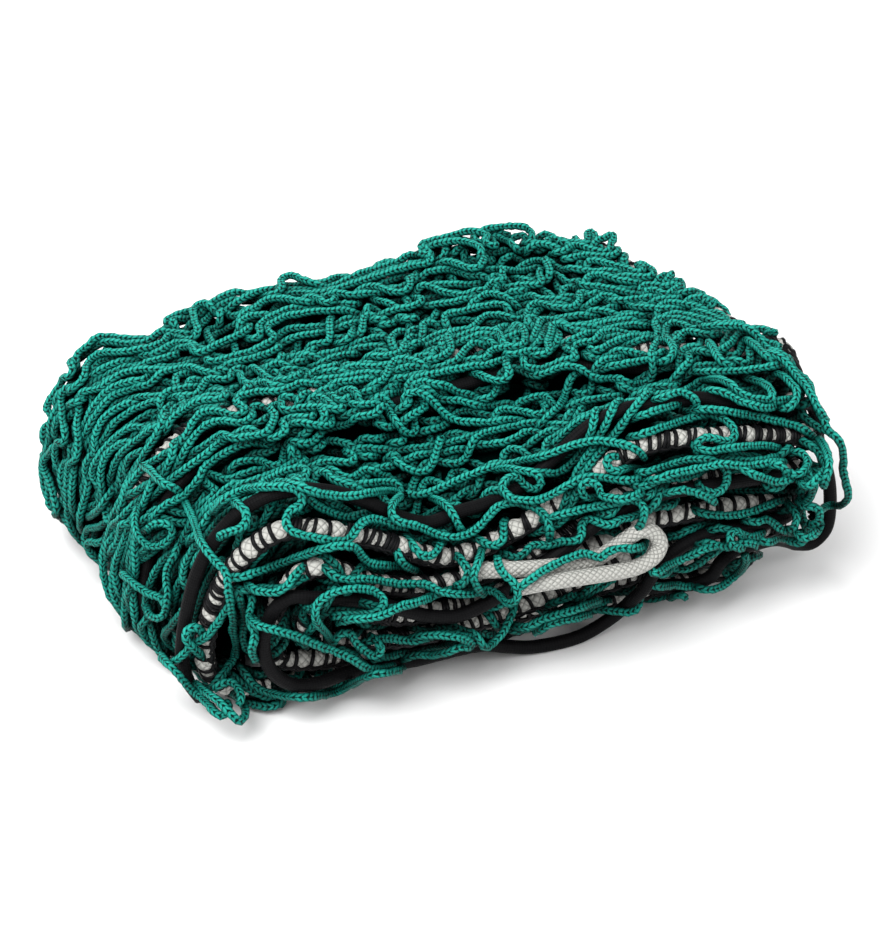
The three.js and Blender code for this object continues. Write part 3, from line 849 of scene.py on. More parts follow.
def tube_points(lines, radii, sides, facing=None):
    """Rims of tubes along lines (cords, points, 3); a row of their points looks the facing way."""
    side, other = frames_along(lines)
    angle = np.broadcast_to(2 * math.pi * np.arange(sides) / sides, lines.shape[:2] + (sides,))
    if facing is not None:
        angle = angle + np.arctan2(other @ facing, side @ facing)[..., None]
    radii = np.broadcast_to(np.asarray(radii, float)[..., None], angle.shape)
    across = radii * np.cos(angle)
    up = radii * np.sin(angle)
    return lines[:, :, None] + across[..., None] * side[:, :, None] + up[..., None] * other[:, :, None]


def round_tube(name, line, radii, sides):
    """A tube along one line, with its length in millimetres and its turn as a map."""
    points = tube_points(line[None], radii, sides)
    quads, caps = tube_faces(np.ones((1, len(line)), bool), sides)
    along = way_along(line)[:, None]
    uvs = np.stack(np.broadcast_arrays(along, np.arange(sides)[None] / sides), -1).reshape(-1, 2)
    return mesh_object(name, points.reshape(-1, 3), [quads, caps], uvs=uvs)


# Laying the net


def close_pairs(points, reach):
    """Index pairs of points nearer than reach, each pair once."""
    cells = np.floor((points - points.min(0)) / reach).astype(np.int64) + 1
    wide, high = cells[:, 1].max() + 2, cells[:, 2].max() + 2
    key = (cells[:, 0] * wide + cells[:, 1]) * high + cells[:, 2]
    order = np.argsort(key, kind="stable")
    keys = key[order]
    firsts, seconds = [], []
    steps = [(0, 0, 0)] + [
        (i, j, k) for i in (0, 1) for j in (-1, 0, 1) for k in (-1, 0, 1) if (i, j, k) > (0, 0, 0)
    ]
    for i, j, k in steps:
        wanted = keys + (i * wide + j) * high + k
        low = np.searchsorted(keys, wanted, "left")
        count = np.searchsorted(keys, wanted, "right") - low
        first = np.repeat(np.arange(len(keys)), count)
        inside = np.arange(count.sum()) - np.repeat(np.cumsum(count) - count, count)
        second = np.repeat(low, count) + inside
        if (i, j, k) == (0, 0, 0):
            keep = first < second
            first, second = first[keep], second[keep]
        firsts.append(order[first])
        seconds.append(order[second])
    first, second = np.concatenate(firsts), np.concatenate(seconds)
    gap = points[first] - points[second]
    near = (gap * gap).sum(1) < reach * reach
    return first[near], second[near]


def wave_field(rng, waves, shortest, longest):
    """A smooth random function of two lengths, about -1 to 1."""
    length = rng.uniform(shortest, longest, waves)
    heading = rng.uniform(0, 2 * math.pi, waves)
    phase = rng.uniform(0, 2 * math.pi, waves)

    def field(s, y):
        turns = (
            s[..., None] * np.cos(heading) / length
            + y[..., None] * np.sin(heading) / length
        )
        return np.sin(2 * math.pi * turns + phase).sum(-1) * math.sqrt(1.0 / waves)

    return field


def partners(cords, row):
    """The cord that each cord meets at a junction row, or itself at an edge."""
    index = np.arange(cords)
    if row % 2 == 0:
        return index ^ 1
    other = ((index + 1) ^ 1) - 1
    other[(other < 0) | (other >= cords)] = index[(other < 0) | (other >= cords)]
    return other


def sight_lines(stage, picture):
    """The camera's place in millimetres and the rays through points of the picture."""
    place, right, up, back = (np.array(v) for v in camera_view(stage))
    across = (picture[:, 0] - PICTURE_WIDE / 2) / stage.focal_pixels
    above = (PICTURE_HIGH / 2 - picture[:, 1]) / stage.focal_pixels
    rays = across[:, None] * right + above[:, None] * up - back
    return place / MM, unit(rays)


def first_touch(start, rays, spots, radii):
    """How far each ray runs until it comes within its radius of a spot."""
    to_spot = spots - start
    along = rays @ to_spot.T
    inside = radii ** 2 - (to_spot ** 2).sum(1) + along ** 2
    far = np.where(inside > 0, along - np.sqrt(np.maximum(inside, 0)), np.inf)
    return far.min(1)


def joined_loops(loops):
    """Loops as one row of points, with a mask that leaves out the points between them."""
    points, shown = [], []
    for loop in loops:
        points += [2 * loop[:1] - loop[1:2], loop, 2 * loop[-1:] - loop[-2:-1]]
        shown += [[False], np.ones(len(loop), bool), [False]]
    return np.vstack(points)[None], np.concatenate(shown)[None]


class NetLay:
    """Lays every cord of the net along the folded strip and lets the cords settle."""

    def __init__(self, sizes):
        self.sizes = sizes
        self.rng = np.random.default_rng(sizes.seed)
        self.strip = Strip()
        self.cords = 2 * sizes.sheet_cords
        self.steps = sizes.segment_steps
        self.step = sizes.mesh_side / MM / self.steps
        self.radius = sizes.cord_diameter / MM / 2
        self.floor = FLOOR_CLEARANCE * self.radius
        self.along = self.row_places()
        self.rows = len(self.along)

    def row_places(self):
        """Where the junction rows lie along the strip: closer together on the outermost fold."""
        strip = self.strip
        outer = strip.outermost() - OUTER_LEAD
        inner_rows = int(round(outer / (self.sizes.inner_advance / MM)))
        outer_rows = int(round((strip.length - outer) / (self.sizes.outer_advance / MM)))
        inner = np.linspace(-START_OVERHANG, outer, inner_rows, endpoint=False)
        return np.r_[inner, np.linspace(outer, strip.length + END_OVERHANG, outer_rows)]

    def loose(self, s):
        """Which places are on the outermost fold or just before it."""
        return s > self.strip.outermost() - LOOSE_LEAD

    def line_y(self, way, s):
        """How far across a cord laid over the top lies, by the way along the strip."""
        strip = self.strip
        left, right = LAYERS[5].left, LAYERS[5].right - TOP_INSET
        t = np.clip((right - strip.x_at(s)) / (right - left), 0, 1)
        top = mix(way.y_right, way.y_left, smooth(t / TOP_SWING)) + TOP_WANDER * np.sin(2 * math.pi * t)
        start = strip.length - (LAYERS[5].right - LAYERS[5].left)
        down = np.clip((start - s) / (start - strip.outermost()), 0, 1)
        return np.where(s > start, top, mix(way.y_left, way.y_foot, down))

    def left_swell(self, s, y):
        """How far the cords at the foot of the left fold stand out."""
        x, high = self.strip.x_at(s), self.strip.height(s)
        return LEFT_SWELL * ramp(x, *LEFT_SWELL_X) * ramp(y, *LEFT_SWELL_Y) * ramp(high, *LEFT_SWELL_Z)

    def low_end(self, s):
        """The share of their rise that cords laid over the ropes keep towards the right end."""
        return 1 - LOW_END * ramp(self.strip.x_at(s), *LOW_END_X)

    def even_nodes(self):
        """Junctions in two flat sheets: along, across and off the strip, each (cords, rows)."""
        half = self.sizes.sheet_cords
        share = (np.arange(half) + 0.5)[:, None] / half
        front, back = self.strip.front(self.along), self.strip.back(self.along)
        lower = front + EDGE_INSET + share * (back - front - 2 * EDGE_INSET)
        upper = back - EDGE_INSET - share * (back - front - UPPER_SET_IN)
        y = np.vstack([lower, upper])
        s = np.broadcast_to(self.along, y.shape).copy()
        h = np.vstack([np.full_like(lower, -SHEET_OFFSET), np.full_like(upper, SHEET_OFFSET)])
        return s, y, h

    def drift(self, s, y, h):
        """Moves the junctions out of their even rows."""
        rng, strip = self.rng, self.strip
        upper = (np.arange(self.cords) >= self.sizes.sheet_cords)[:, None]
        fields = [wave_field(rng, DRIFT_WAVES, way.shortest, way.longest) for way in DRIFTS]
        along, across = (
            way.swing * field(s, y + SHEET_SHIFT * upper) + rng.normal(0, way.chance, s.shape)
            for way, field in zip(DRIFTS, fields)
        )
        inside = smooth(np.minimum(s, strip.length - s) / END_EASE)
        s += along * mix(END_DRIFT, 1.0, inside)
        short = BACK_SHORT * ramp(y, *BACK_SHORT_Y) + MIDDLE_SHORT * beside(y, *MIDDLE_SHORT_Y)
        s -= short * smooth((s - strip.length + END_EASE) / END_EASE)
        y += across
        outer = self.loose(s)
        h += rng.normal(0, LIFT_CHANCE, s.shape) * np.where(outer, OUTER_LIFT, 1.0)
        h += (1 - inside) * rng.normal(0, END_LIFT_CHANCE, s.shape)
        x = strip.x_at(s)
        on_top = strip.height(s) > TOP_START
        back_edge = on_top * ramp(x, *BACK_EDGE_RIGHT) * ramp(x, *BACK_EDGE_LEFT) * ramp(y, *BACK_EDGE_Y)
        y += BACK_EDGE_REACH * back_edge
        h += BACK_EDGE_RISE * back_edge
        h += self.left_swell(s, y) * outer

    def lie_over(self, s, y, h):
        """Lifts junctions of the outermost fold over the ropes and elastics laid on it."""
        x = self.strip.x_at(s)
        bare = (x > BARE_STRETCH.start) & (x < BARE_STRETCH.stop)
        for cord in LAID_OVER:
            near = beside(y, self.line_y(cord.way, s), cord.wide, OVER_FLAT)
            chance = np.where(bare, BARE_CHANCE * cord.chance, cord.chance)
            lifted = self.loose(s) & (self.rng.random(s.shape) < chance)
            h[:] = np.where(lifted, np.maximum(h, cord.high * self.low_end(s) * near), h)

    def spill_front(self, y, h):
        """Hangs the cords nearest the front edge over the border rope in loops."""
        rng, strip, rows = self.rng, self.strip, self.rows
        level = ramp(strip.height(self.along), *SPILL_LEVEL)
        on_top = self.along > strip.outermost() + TOP_SPILL_START
        for cord in range(self.sizes.front_cords):
            chance = mix(*SPILL_CHANCE, cord / self.sizes.front_cords)
            top_chance = TOP_SPILL_CHANCE * (cord < TOP_SPILL_CORDS)
            out = rng.random(rows) < chance * np.where(on_top, top_chance, 1)
            spill = mix(rng.uniform(*LOW_SPILL, rows), rng.uniform(*HIGH_SPILL, rows), level)
            sway = mix(*SPILL_SWAY, level) * rng.uniform(-1, 1, rows)
            sway = np.where(on_top, rng.uniform(*TOP_SWAY, rows), sway)
            y[cord] = np.where(out, strip.front(self.along) - spill, y[cord])
            h[cord] = np.where(out, sway, h[cord])

    def join_pairs(self, s, y, h):
        """Gives the two cords of each junction one place, side by side."""
        index = np.arange(self.cords)
        for row in range(self.rows):
            pair = partners(self.cords, row)
            lower, higher = np.minimum(pair, index), np.maximum(pair, index)
            apart = np.sign(pair - index) * np.where(index >= self.sizes.sheet_cords, -1, 1)
            s[:, row] = s[lower, row]
            h[:, row] = h[lower, row]
            y[:, row] = 0.5 * (y[lower, row] + y[higher, row]) - apart * JUNCTION_GAP * self.radius

    def plan_nodes(self):
        """The junctions in strip measures: along, across and off, each (cords, rows)."""
        s, y, h = self.even_nodes()
        self.drift(s, y, h)
        self.lie_over(s, y, h)
        self.spill_front(y, h)
        self.join_pairs(s, y, h)
        return s, y, h

    def press(self, s, y):
        """Where the outermost fold lies at its points, its way out, and how far out they may lie."""
        strip = self.strip
        base = strip.place(s, y, np.zeros_like(s))
        out = unit(strip.place(s, y, np.ones_like(s)) - base)
        limit = np.full(s.shape, self.sizes.press_limit / MM)
        for cord in LAID_OVER:
            near = beside(y, self.line_y(cord.way, s), OVER_LIMIT_REACH, OVER_LIMIT_FLAT)
            limit = np.maximum(limit, OVER_LIMIT * near)
        x, high = strip.x_at(s), strip.height(s)
        limit += BACK_EDGE_LIMIT * ramp(y, *BACK_EDGE_Y) * (high > TOP_START)
        limit += self.left_swell(s, y)
        limit -= LEFT_FLAT * ramp(x, *LEFT_FLAT_X) * (high > UPPER_START)
        free = (s < strip.outermost() - FREE_LEAD) | (y < strip.front(s) - FREE_FRONT)
        return base, out, np.where(free, UNPRESSED, limit)

    def crossing(self, gap, h, high, u):
        """How far a stretch rises, or sinks where high is below nought, to pass a cord that it crosses."""
        before, after = gap[:, :-1], gap[:, 1:]
        crosses = before * after < 0
        where = np.where(crosses, before / np.where(crosses, before - after, 1.0), 0.5)
        level = mix(h[:, :-1], h[:, 1:], where)
        rise = np.where(high > 0, np.maximum(high - level, 0), np.minimum(high - level, 0))
        return np.where(crosses, rise, 0)[..., None] * np.exp(-((u - where[..., None]) / CROSSING_REACH) ** 2)

    def bends(self, s, y, outer, u):
        """How each stretch waves between its junctions: along, across and off, at size one."""
        rng = self.rng
        waves = []
        for wave in STRETCH_WAVES:
            field = wave_field(rng, STRETCH_WAVE_COUNT, *STRETCH_WAVE_LENGTHS)
            waves.append(wave.swing * field(s, y * ACROSS_SQUEEZE) + rng.normal(0, wave.chance, s.shape))
        bow, snake, ripple = waves
        curl = outer & (rng.random(s.shape) < self.sizes.curl_share)
        bow = np.where(curl, np.sign(bow), bow)
        snake = np.where(curl, CURL_SNAKE * snake, snake)
        least_ripple = np.sign(ripple) * np.maximum(np.abs(ripple), LEAST_RIPPLE)
        ripple = np.where(curl, CURL_RIPPLE * ripple, least_ripple)
        side = sum(
            wave[..., None] * np.sin(k * math.pi * u) for k, wave in ((1, bow), (2, snake), (3, ripple))
        )
        lag_share = np.where(curl, CURL_LAG, PLAIN_LAG)[..., None]
        lag = -lag_share * np.abs(bow)[..., None] * np.sin(2 * math.pi * u)
        height = rng.normal(0, RISE_CHANCE, s.shape) + np.where(outer, OUTER_RISE, 0)
        rise = height[..., None] * np.sin(math.pi * u)
        return np.stack([lag, side, rise], -1)

    def first_shape(self):
        """Each stretch between junctions waved sideways until it has its true length."""
        s, y, h = self.plan_nodes()
        u = np.arange(self.steps) / self.steps
        starts = s[:, :-1]
        outer = self.loose(starts)
        bend = self.bends(starts, y[:, :-1], outer, u)

        def between(a):
            return a[:, :-1, None] + (a[:, 1:] - a[:, :-1])[..., None] * u

        base = np.stack([between(s), between(y), between(h)], -1)
        for cord in LAID_OVER:
            over = self.crossing(y - self.line_y(cord.way, s), h, cord.high * self.low_end(starts), u)
            base[..., 2] += np.where(outer[..., None], over, 0)
        pass_side = self.rng.choice([-PASS_ROPE, PASS_ROPE], starts.shape)
        past_rope = self.crossing(y - self.strip.front(s) + ROPE_AHEAD, h, pass_side, u)
        base[..., 2] += np.where(outer[..., None], 0, past_rope)
        ends = np.stack([s[:, 1:], y[:, 1:], h[:, 1:]], -1)[:, :, None]
        size = np.full(starts.shape, FIRST_WAVE)
        target = self.steps * self.step
        for _ in range(WAVE_ROUNDS):
            line = np.concatenate([base + size[..., None, None] * bend, ends], axis=2)
            length = np.linalg.norm(np.diff(line, axis=2), axis=3).sum(2)
            size = np.clip(size * np.where(length < target, WAVE_GROW, WAVE_SHRINK), LEAST_WAVE, MOST_WAVE)
        line = (base + size[..., None, None] * bend).reshape(self.cords, -1, 3)
        last = np.stack([s[:, -1], y[:, -1], h[:, -1]], -1)[:, None]
        along, across, off = np.moveaxis(np.concatenate([line, last], axis=1), -1, 0)
        most_y = self.back_limit(along)
        across = np.minimum(across, most_y)
        self.pressed = self.press(along, across)
        self.most_y = self.strip.place(along, most_y, off)[..., 1]
        return self.strip.place(along, across, off)

    def back_limit(self, s):
        """How far back cords may lie: further along the top's back edge."""
        x = self.strip.x_at(s)
        on_top = self.strip.height(s) > UPPER_START
        over_edge = BACK_OVER * on_top * ramp(x, *BACK_OVER_RIGHT) * ramp(x, *BACK_OVER_LEFT)
        return self.strip.back(s) + BACK_PAST + over_edge

    def obstacles(self, lines):
        """Fixed round stations along the ropes, elastics and draw cord."""
        spots, radii = [], []
        for line, diameter in lines.values():
            stations = even_steps(line, STATION_STEP)
            spots.append(stations)
            radii.append(np.full(len(stations), diameter / 2))
        return np.vstack(spots), np.concatenate(radii)

    def front_loops(self, stage, spots, radii):
        """The traced loops, each laid on what the camera sees behind it."""
        loops = []
        radii = radii + self.radius + LOOP_CLEARANCE
        pixel_step = self.step * stage.focal_pixels * MM / stage.distance
        for trace in FRONT_LOOPS:
            flat = np.c_[np.array(trace, float), np.zeros(len(trace))]
            flat = even_steps(smooth_route(flat, LOOP_SPAN), pixel_step)
            start, rays = sight_lines(stage, flat)
            wall = ((WALLS - start) / rays).max(1)
            far = first_touch(start, rays, spots, radii)
            far = np.where(np.isfinite(far), far, wall)
            far = np.minimum(far, (self.floor - start[2]) / rays[:, 2])
            padded = np.pad(far, 1, mode="edge")
            near = np.minimum(np.minimum(padded[:-2], padded[1:-1]), padded[2:])
            for _ in range(LOOP_SMOOTHINGS):
                near = averaged(np.pad(near, 1, mode="edge"))
            from_end = np.minimum(np.arange(len(near)), np.arange(len(near))[::-1])
            near += LOOP_TUCK * np.maximum(1 - from_end / LOOP_TUCK_POINTS, 0) ** 2
            loop = start + rays * near[:, None]
            loop[:, 2] = np.maximum(loop[:, 2], self.floor)
            loops.append(loop)
            spots = np.vstack([spots, loop])
            radii = np.concatenate([radii, np.full(len(loop), 2 * self.radius)])
        return loops

    def ties(self, grid):
        """Index pairs that hold two cords together at and beside their junctions."""
        firsts, seconds = [], []
        for row in range(self.rows):
            pair = partners(self.cords, row)
            lower = np.flatnonzero(pair > np.arange(self.cords))
            for shift in (-1, 0, 1):
                k = row * self.steps + shift
                if 0 <= k < grid.shape[1]:
                    firsts.append(grid[lower, k])
                    seconds.append(grid[pair[lower], k])
        return np.concatenate(firsts), np.concatenate(seconds)

    def relax(self, cords, fixed, fixed_radii, rounds):
        """Moves the cords until they lie beside each other, keep their length and stay on the floor."""
        count = cords.shape[1]
        free = self.cords * count
        points = np.vstack([cords.reshape(-1, 3), fixed])
        radii = np.concatenate([np.full(free, self.radius), fixed_radii])
        weight = np.concatenate([np.ones(free), np.zeros(len(fixed))])
        home = points[:free].copy()
        cord_of = np.concatenate([np.repeat(np.arange(self.cords), count), np.full(len(fixed), -1)])
        place_in = np.concatenate([np.tile(np.arange(count), self.cords), np.zeros(len(fixed), int)])
        grid = np.arange(free).reshape(self.cords, count)
        tie_a, tie_b = self.ties(grid)
        edges = []
        for start in (0, 1):
            edges.append((grid[:, start:-1:2].ravel(), grid[:, start + 1::2].ravel()))
        bends = []
        for start in range(3):
            first = grid[:, start:-2:3]
            bends.append((first.ravel(), grid[:, start + 2::3][:, :first.shape[1]].ravel()))

        def pull(a, b, wanted, strength, only_short=False):
            gap = points[b] - points[a]
            far = np.maximum(np.linalg.norm(gap, axis=1), LEAST_GAP)
            miss = far - wanted
            if only_short:
                miss = np.minimum(miss, 0)
            move = (0.5 * strength * miss / far)[:, None] * gap
            points[a] += move
            points[b] -= move

        def touching():
            first, second = close_pairs(points, ROPE_DIAMETER + self.radius)
            same = cord_of[first] == cord_of[second]
            near_in_cord = same & (np.abs(place_in[first] - place_in[second]) <= 2)
            both_fixed = (weight[first] + weight[second]) == 0
            keep = ~(near_in_cord | both_fixed)
            return first[keep], second[keep]

        def push_apart(first, second):
            gap = points[second] - points[first]
            far = np.maximum(np.linalg.norm(gap, axis=1), LEAST_GAP)
            overlap = radii[first] + radii[second] - far
            hit = overlap > 0
            first, second, gap, far, overlap = first[hit], second[hit], gap[hit], far[hit], overlap[hit]
            share = weight[first] + weight[second]
            push = (PUSH_STRENGTH * overlap / far / share)[:, None] * gap
            moves = np.empty_like(points)
            ahead = push * weight[second][:, None]
            behind = push * weight[first][:, None]
            for k in range(3):
                moves[:, k] = np.bincount(second, ahead[:, k], len(points))
                moves[:, k] -= np.bincount(first, behind[:, k], len(points))
            return np.clip(moves, -MOST_MOVE, MOST_MOVE)

        base, out, limit = (a.reshape(free, -1) for a in self.pressed)
        limit = limit[:, 0]
        most_y = self.most_y.ravel()
        for turn in range(rounds):
            if turn % PAIR_ROUNDS == 0:
                pairs = touching()
            points += push_apart(*pairs)
            pull(tie_a, tie_b, TIE_LENGTH * self.radius, TIE_STRENGTH)
            for a, b in bends:
                pull(a, b, BEND_LENGTH * self.step, BEND_STRENGTH, only_short=True)
            for _ in range(2):
                for a, b in edges:
                    pull(a, b, self.step, 1.0)
            points[:free] += HOME_PULL * (home - points[:free])
            beyond = ((points[:free] - base) * out).sum(1) - limit
            points[:free] -= (PRESS_STRENGTH * np.maximum(beyond, 0))[:, None] * out
            points[:free, 1] = np.minimum(points[:free, 1], most_y)
            points[:free, 2] = np.maximum(points[:free, 2], self.radius)
        return points[:free].reshape(self.cords, count, 3)

    def round_ends(self, cords):
        """Cords that end together are joined tip to tip."""
        tips = []
        for row, end, before in ((0, 0, 1), (self.rows - 1, -1, -2)):
            pair = partners(self.cords, row)
            middle = 0.5 * (cords[:, end] + cords[pair, end])
            way = cords[:, end] - cords[:, before]
            tips.append((middle + self.radius * unit(way + way[pair]))[:, None])
        return np.concatenate([tips[0], cords, tips[1]], axis=1)


def openness(points, radius, directions, cell=1.0, slack=1.6):
    """For each point, the share of each direction's view of it that nothing hides."""
    reach = int(math.ceil(radius / cell))
    span = np.arange(-reach, reach + 1)
    di, dj = (a.ravel() for a in np.meshgrid(span, span, indexing="ij"))
    inside = di * di + dj * dj <= (radius / cell) ** 2
    di, dj = di[inside], dj[inside]
    open_share = np.zeros((len(directions), len(points)), np.float32)
    for number, way in enumerate(directions):
        side = np.cross(way, [0.0, 0.0, 1.0] if abs(way[2]) < 0.9 else [1.0, 0.0, 0.0])
        side /= np.linalg.norm(side)
        flat = np.stack([points @ side, points @ np.cross(way, side)], 1) / cell
        spot = np.floor(flat - flat.min(0)).astype(int) + reach + 1
        wide = spot[:, 1].max() + reach + 2
        depth = points @ way
        key = (spot[:, 0][:, None] + di) * wide + spot[:, 1][:, None] + dj
        nearest = np.full(key.max() + 1, -1e9)
        np.maximum.at(nearest, key.ravel(), np.repeat(depth, len(di)))
        open_share[number] = (depth[:, None] > nearest[key] - slack).mean(1)
    return open_share


def look_directions(count):
    """Directions spread evenly over a ball."""
    i = np.arange(count) + 0.5
    z = 1 - 2 * i / count
    angle = math.pi * (1 + math.sqrt(5)) * i
    flat = np.sqrt(1 - z * z)
    return np.stack([flat * np.cos(angle), flat * np.sin(angle), z], 1)


def finer(cords, times):
    """Cords with more points, on a smooth curve through the ones they have."""
    before = 2 * cords[:, :1] - cords[:, 1:2]
    after = 2 * cords[:, -1:] - cords[:, -2:-1]
    full = np.concatenate([before, cords, after], axis=1)
    p0, p1, p2, p3 = full[:, :-3], full[:, 1:-2], full[:, 2:-1], full[:, 3:]
    m1, m2 = (p2 - p0) / 2, (p3 - p1) / 2
    t = (np.arange(times) / times)[None, None, :, None]
    p1, p2, m1, m2 = (a[:, :, None] for a in (p1, p2, m1, m2))
    curve = curve_between(t, p1, p2, m1, m2)
    return np.concatenate([curve.reshape(len(cords), -1, 3), cords[:, -1:]], axis=1)


def grow(mask, steps):
    """The mask with this many more points at each end of its runs."""
    wider = mask.copy()
    for k in range(1, steps + 1):
        wider[:, k:] |= mask[:, :-k]
        wider[:, :-k] |= mask[:, k:]
    return wider


def lay_net(lay, spots, radii, stage):
    """The settled cords, and the front loops in one row with the mask of their points."""
    rounds = lay.sizes.settle_rounds
    cords = lay.relax(lay.first_shape(), spots, radii, rounds)
    laid = np.vstack([spots, cords.reshape(-1, 3)])
    laid_radii = np.concatenate([radii, np.full(len(laid) - len(spots), lay.radius)])
    loops, in_loop = joined_loops(lay.front_loops(stage, laid, laid_radii))
    traced = loops[in_loop]
    fixed = np.vstack([spots, traced])
    fixed_radii = np.concatenate([radii, np.full(len(traced), lay.radius)])
    cords = lay.relax(cords, fixed, fixed_radii, rounds // FIRST_TO_LAST_ROUNDS)
    cords[:, 1:-1] = averaged(cords.swapaxes(0, 1)).swapaxes(0, 1)
    cords = lay.round_ends(cords)
    cords[..., 2] = np.maximum(cords[..., 2], lay.floor)
    return cords, loops, in_loop


def net_pieces(sizes, lines, stage):
    """The net's cords as meshes with the length of cord in each, and the sheet inside the fold."""
    lay = NetLay(sizes)
    spots, radii = lay.obstacles(lines)
    cords, loops, in_loop = lay_net(lay, spots, radii, stage)

    everything = np.vstack([cords.reshape(-1, 3), loops[0], spots])
    views = np.vstack([camera_view(stage)[3], look_directions(sizes.look_count)])
    open_share = openness(everything, lay.radius, views)
    around = views[:, 2] > LOWEST_LOOK
    seen = (open_share[around] > sizes.shown_share).any(0) | (open_share[0] > VIEW_SHARE)
    # Directions from below count as shut in the painted shade, so the undersides of cords are painted darker.
    open_share[views[:, 2] < LOWEST_LIGHT] = 0
    count = cords.shape[0] * cords.shape[1]
    seen = seen[:count].reshape(cords.shape[:2])
    loop_share = open_share[1:, count:count + loops.shape[1]][:, None]
    open_share = open_share[1:, :count].reshape(sizes.look_count, *cords.shape[:2])
    shown = grow(seen, 1)
    plain = grow(~shown, 1)

    pieces = []
    for number, pick in enumerate(np.array_split(np.arange(lay.cords), sizes.net_pieces)):
        name = f"net_cords_{number + 1}"
        piece = net_mesh(name, cords[pick], shown[pick], plain[pick], open_share[:, pick], views, lay.radius)
        pieces.append((piece, len(pick) * (lay.rows - 1) * sizes.mesh_side))
    none = np.zeros_like(in_loop)
    piece = net_mesh("net_front_loops", loops, in_loop, none, loop_share, views, lay.radius)
    pieces.append((piece, in_loop.sum() * lay.step * MM))
    return pieces, inner_sheet(lay)


def net_mesh(name, cords, shown, plain, open_share, views, radius):
    """Cords as lumpy tubes where they are shown and as plain tubes inside the pack; their light attribute is
    painted shade, darker where other cords hide a side.
    """
    facing, views = views[0], views[1:]
    rings = finer(cords, RINGS_PER_STEP)
    keep = np.repeat(shown[:, :-1] & shown[:, 1:], RINGS_PER_STEP, axis=1)
    keep = np.concatenate([keep, shown[:, -1:]], axis=1)
    rim = tube_points(rings, radius, SHOWN_SIDES, facing) - rings[:, :, None]
    inner = tube_points(cords, radius, PLAIN_SIDES)
    faces = list(tube_faces(keep, SHOWN_SIDES))
    faces += [f + keep.sum() * SHOWN_SIDES for f in tube_faces(plain, PLAIN_SIDES)]
    lumps = np.random.default_rng(len(cords)).uniform(*LUMPS, rim.shape[:3])
    points = (rings[:, :, None] + lumps[..., None] * rim)[keep]
    solid = np.vstack([points.reshape(-1, 3), inner[plain].reshape(-1, 3)])
    gone = np.cumsum(np.linalg.norm(np.diff(rings, axis=1, prepend=rings[:, :1]), axis=2), axis=1)
    gone += STITCH_STAGGER * np.arange(len(rings))[:, None]
    around = np.arange(SHOWN_SIDES) / SHOWN_SIDES
    uvs = np.stack(np.broadcast_arrays(gone[keep][:, None], around), -1).reshape(-1, 2)
    dull = np.zeros(plain.sum() * PLAIN_SIDES)
    # Painted shade: each ring side gets the open share of the look directions it faces; the plain inner tubes
    # get nought, which is full painted shade.
    light = painted_light_by_side(rim[keep], open_share, keep, views)
    values = {"light": np.r_[light.ravel(), dull]}
    return mesh_object(name, solid, [f for f in faces if len(f)], values, np.vstack([uvs, np.c_[dull, dull]]))


def inner_sheet(lay):
    """The inside of the outermost fold: a thin sheet a little under its cords, painted near black as the
    shade inside the pack.
    """
    strip = lay.strip
    along = np.linspace(strip.outermost() - INSIDE_LEAD, strip.length - INSIDE_SHORT, INSIDE_COLUMNS)
    share = np.linspace(0, 1, INSIDE_ROWS)[:, None]
    y = mix(strip.front(along) + INSIDE_FRONT, strip.back(along) + INSIDE_BACK, share)
    s = np.broadcast_to(along, y.shape)
    waves = wave_field(lay.rng, INSIDE_WAVE_COUNT, *INSIDE_WAVE_LENGTHS)(s, y)
    depth = INSIDE_DEPTH + INSIDE_BACK_RISE * ramp(y, *INSIDE_BACK_Y) + INSIDE_WAVE * waves
    points = strip.place(s, y, depth)
    number = np.arange(y.size).reshape(y.shape)
    corners = (number[:-1, :-1], number[:-1, 1:], number[1:, 1:], number[1:, :-1])
    quads = np.stack([corner.ravel() for corner in corners], 1)
    return mesh_object("net_inside", points.reshape(-1, 3), [quads])


def painted_light_by_side(rim, open_share, keep, views):
    """How much of the view from each side of the shown rings is open, used as painted shade that darkens cord
    sides hidden by their neighbours; rim points outwards.
    """
    at = np.arange(keep.shape[1]) / RINGS_PER_STEP
    low = np.minimum(at.astype(int), open_share.shape[2] - 2)
    between = open_share[..., low] + (open_share[..., low + 1] - open_share[..., low]) * (at - low)
    open_here = between[:, keep].T[:, None]
    facing = np.maximum(unit(rim) @ views.T, 0)
    return (facing * open_here).sum(2) / facing.sum(2)


# Finishes


# The knit: stitches in millimetres along a cord, columns round it
STITCH_LENGTH = 1.9
KNIT_COLUMNS = 4.0
STITCH_LOOSENESS = 0.9
STITCH_ROUNDNESS = 3.0
COLUMN_ROUNDNESS = 2.4
STITCH_SHARE = 0.95
FIBRE_SHARE = 1.35
LEVEL_SHIFT = 0.66
FIBRE_BUMP = 0.3


class Signal:
    """A number that changes over a surface: sums on it add Math nodes."""

    def __init__(self, finish, socket):
        self.finish = finish
        self.socket = socket

    def maths(self, operation, first, second=None):
        sockets = {0: first} if second is None else {0: first, 1: second}
        return self.finish.value("ShaderNodeMath", {"operation": operation}, sockets)

    def __add__(self, other):
        return self.maths("ADD", self, other)

    __radd__ = __add__

    def __sub__(self, other):
        return self.maths("SUBTRACT", self, other)

    def __rsub__(self, other):
        return self.maths("SUBTRACT", other, self)

    def __mul__(self, other):
        return self.maths("MULTIPLY", self, other)

    __rmul__ = __mul__

    def __truediv__(self, other):
        return self.maths("DIVIDE", self, other)

    def __rtruediv__(self, other):
        return self.maths("DIVIDE", other, self)

    def __pow__(self, other):
        return self.maths("POWER", self, other)

    def sine(self):
        return self.maths("SINE", self)

    def size(self):
        return self.maths("ABSOLUTE", self)

    def part(self):
        return self.maths("FRACT", self)


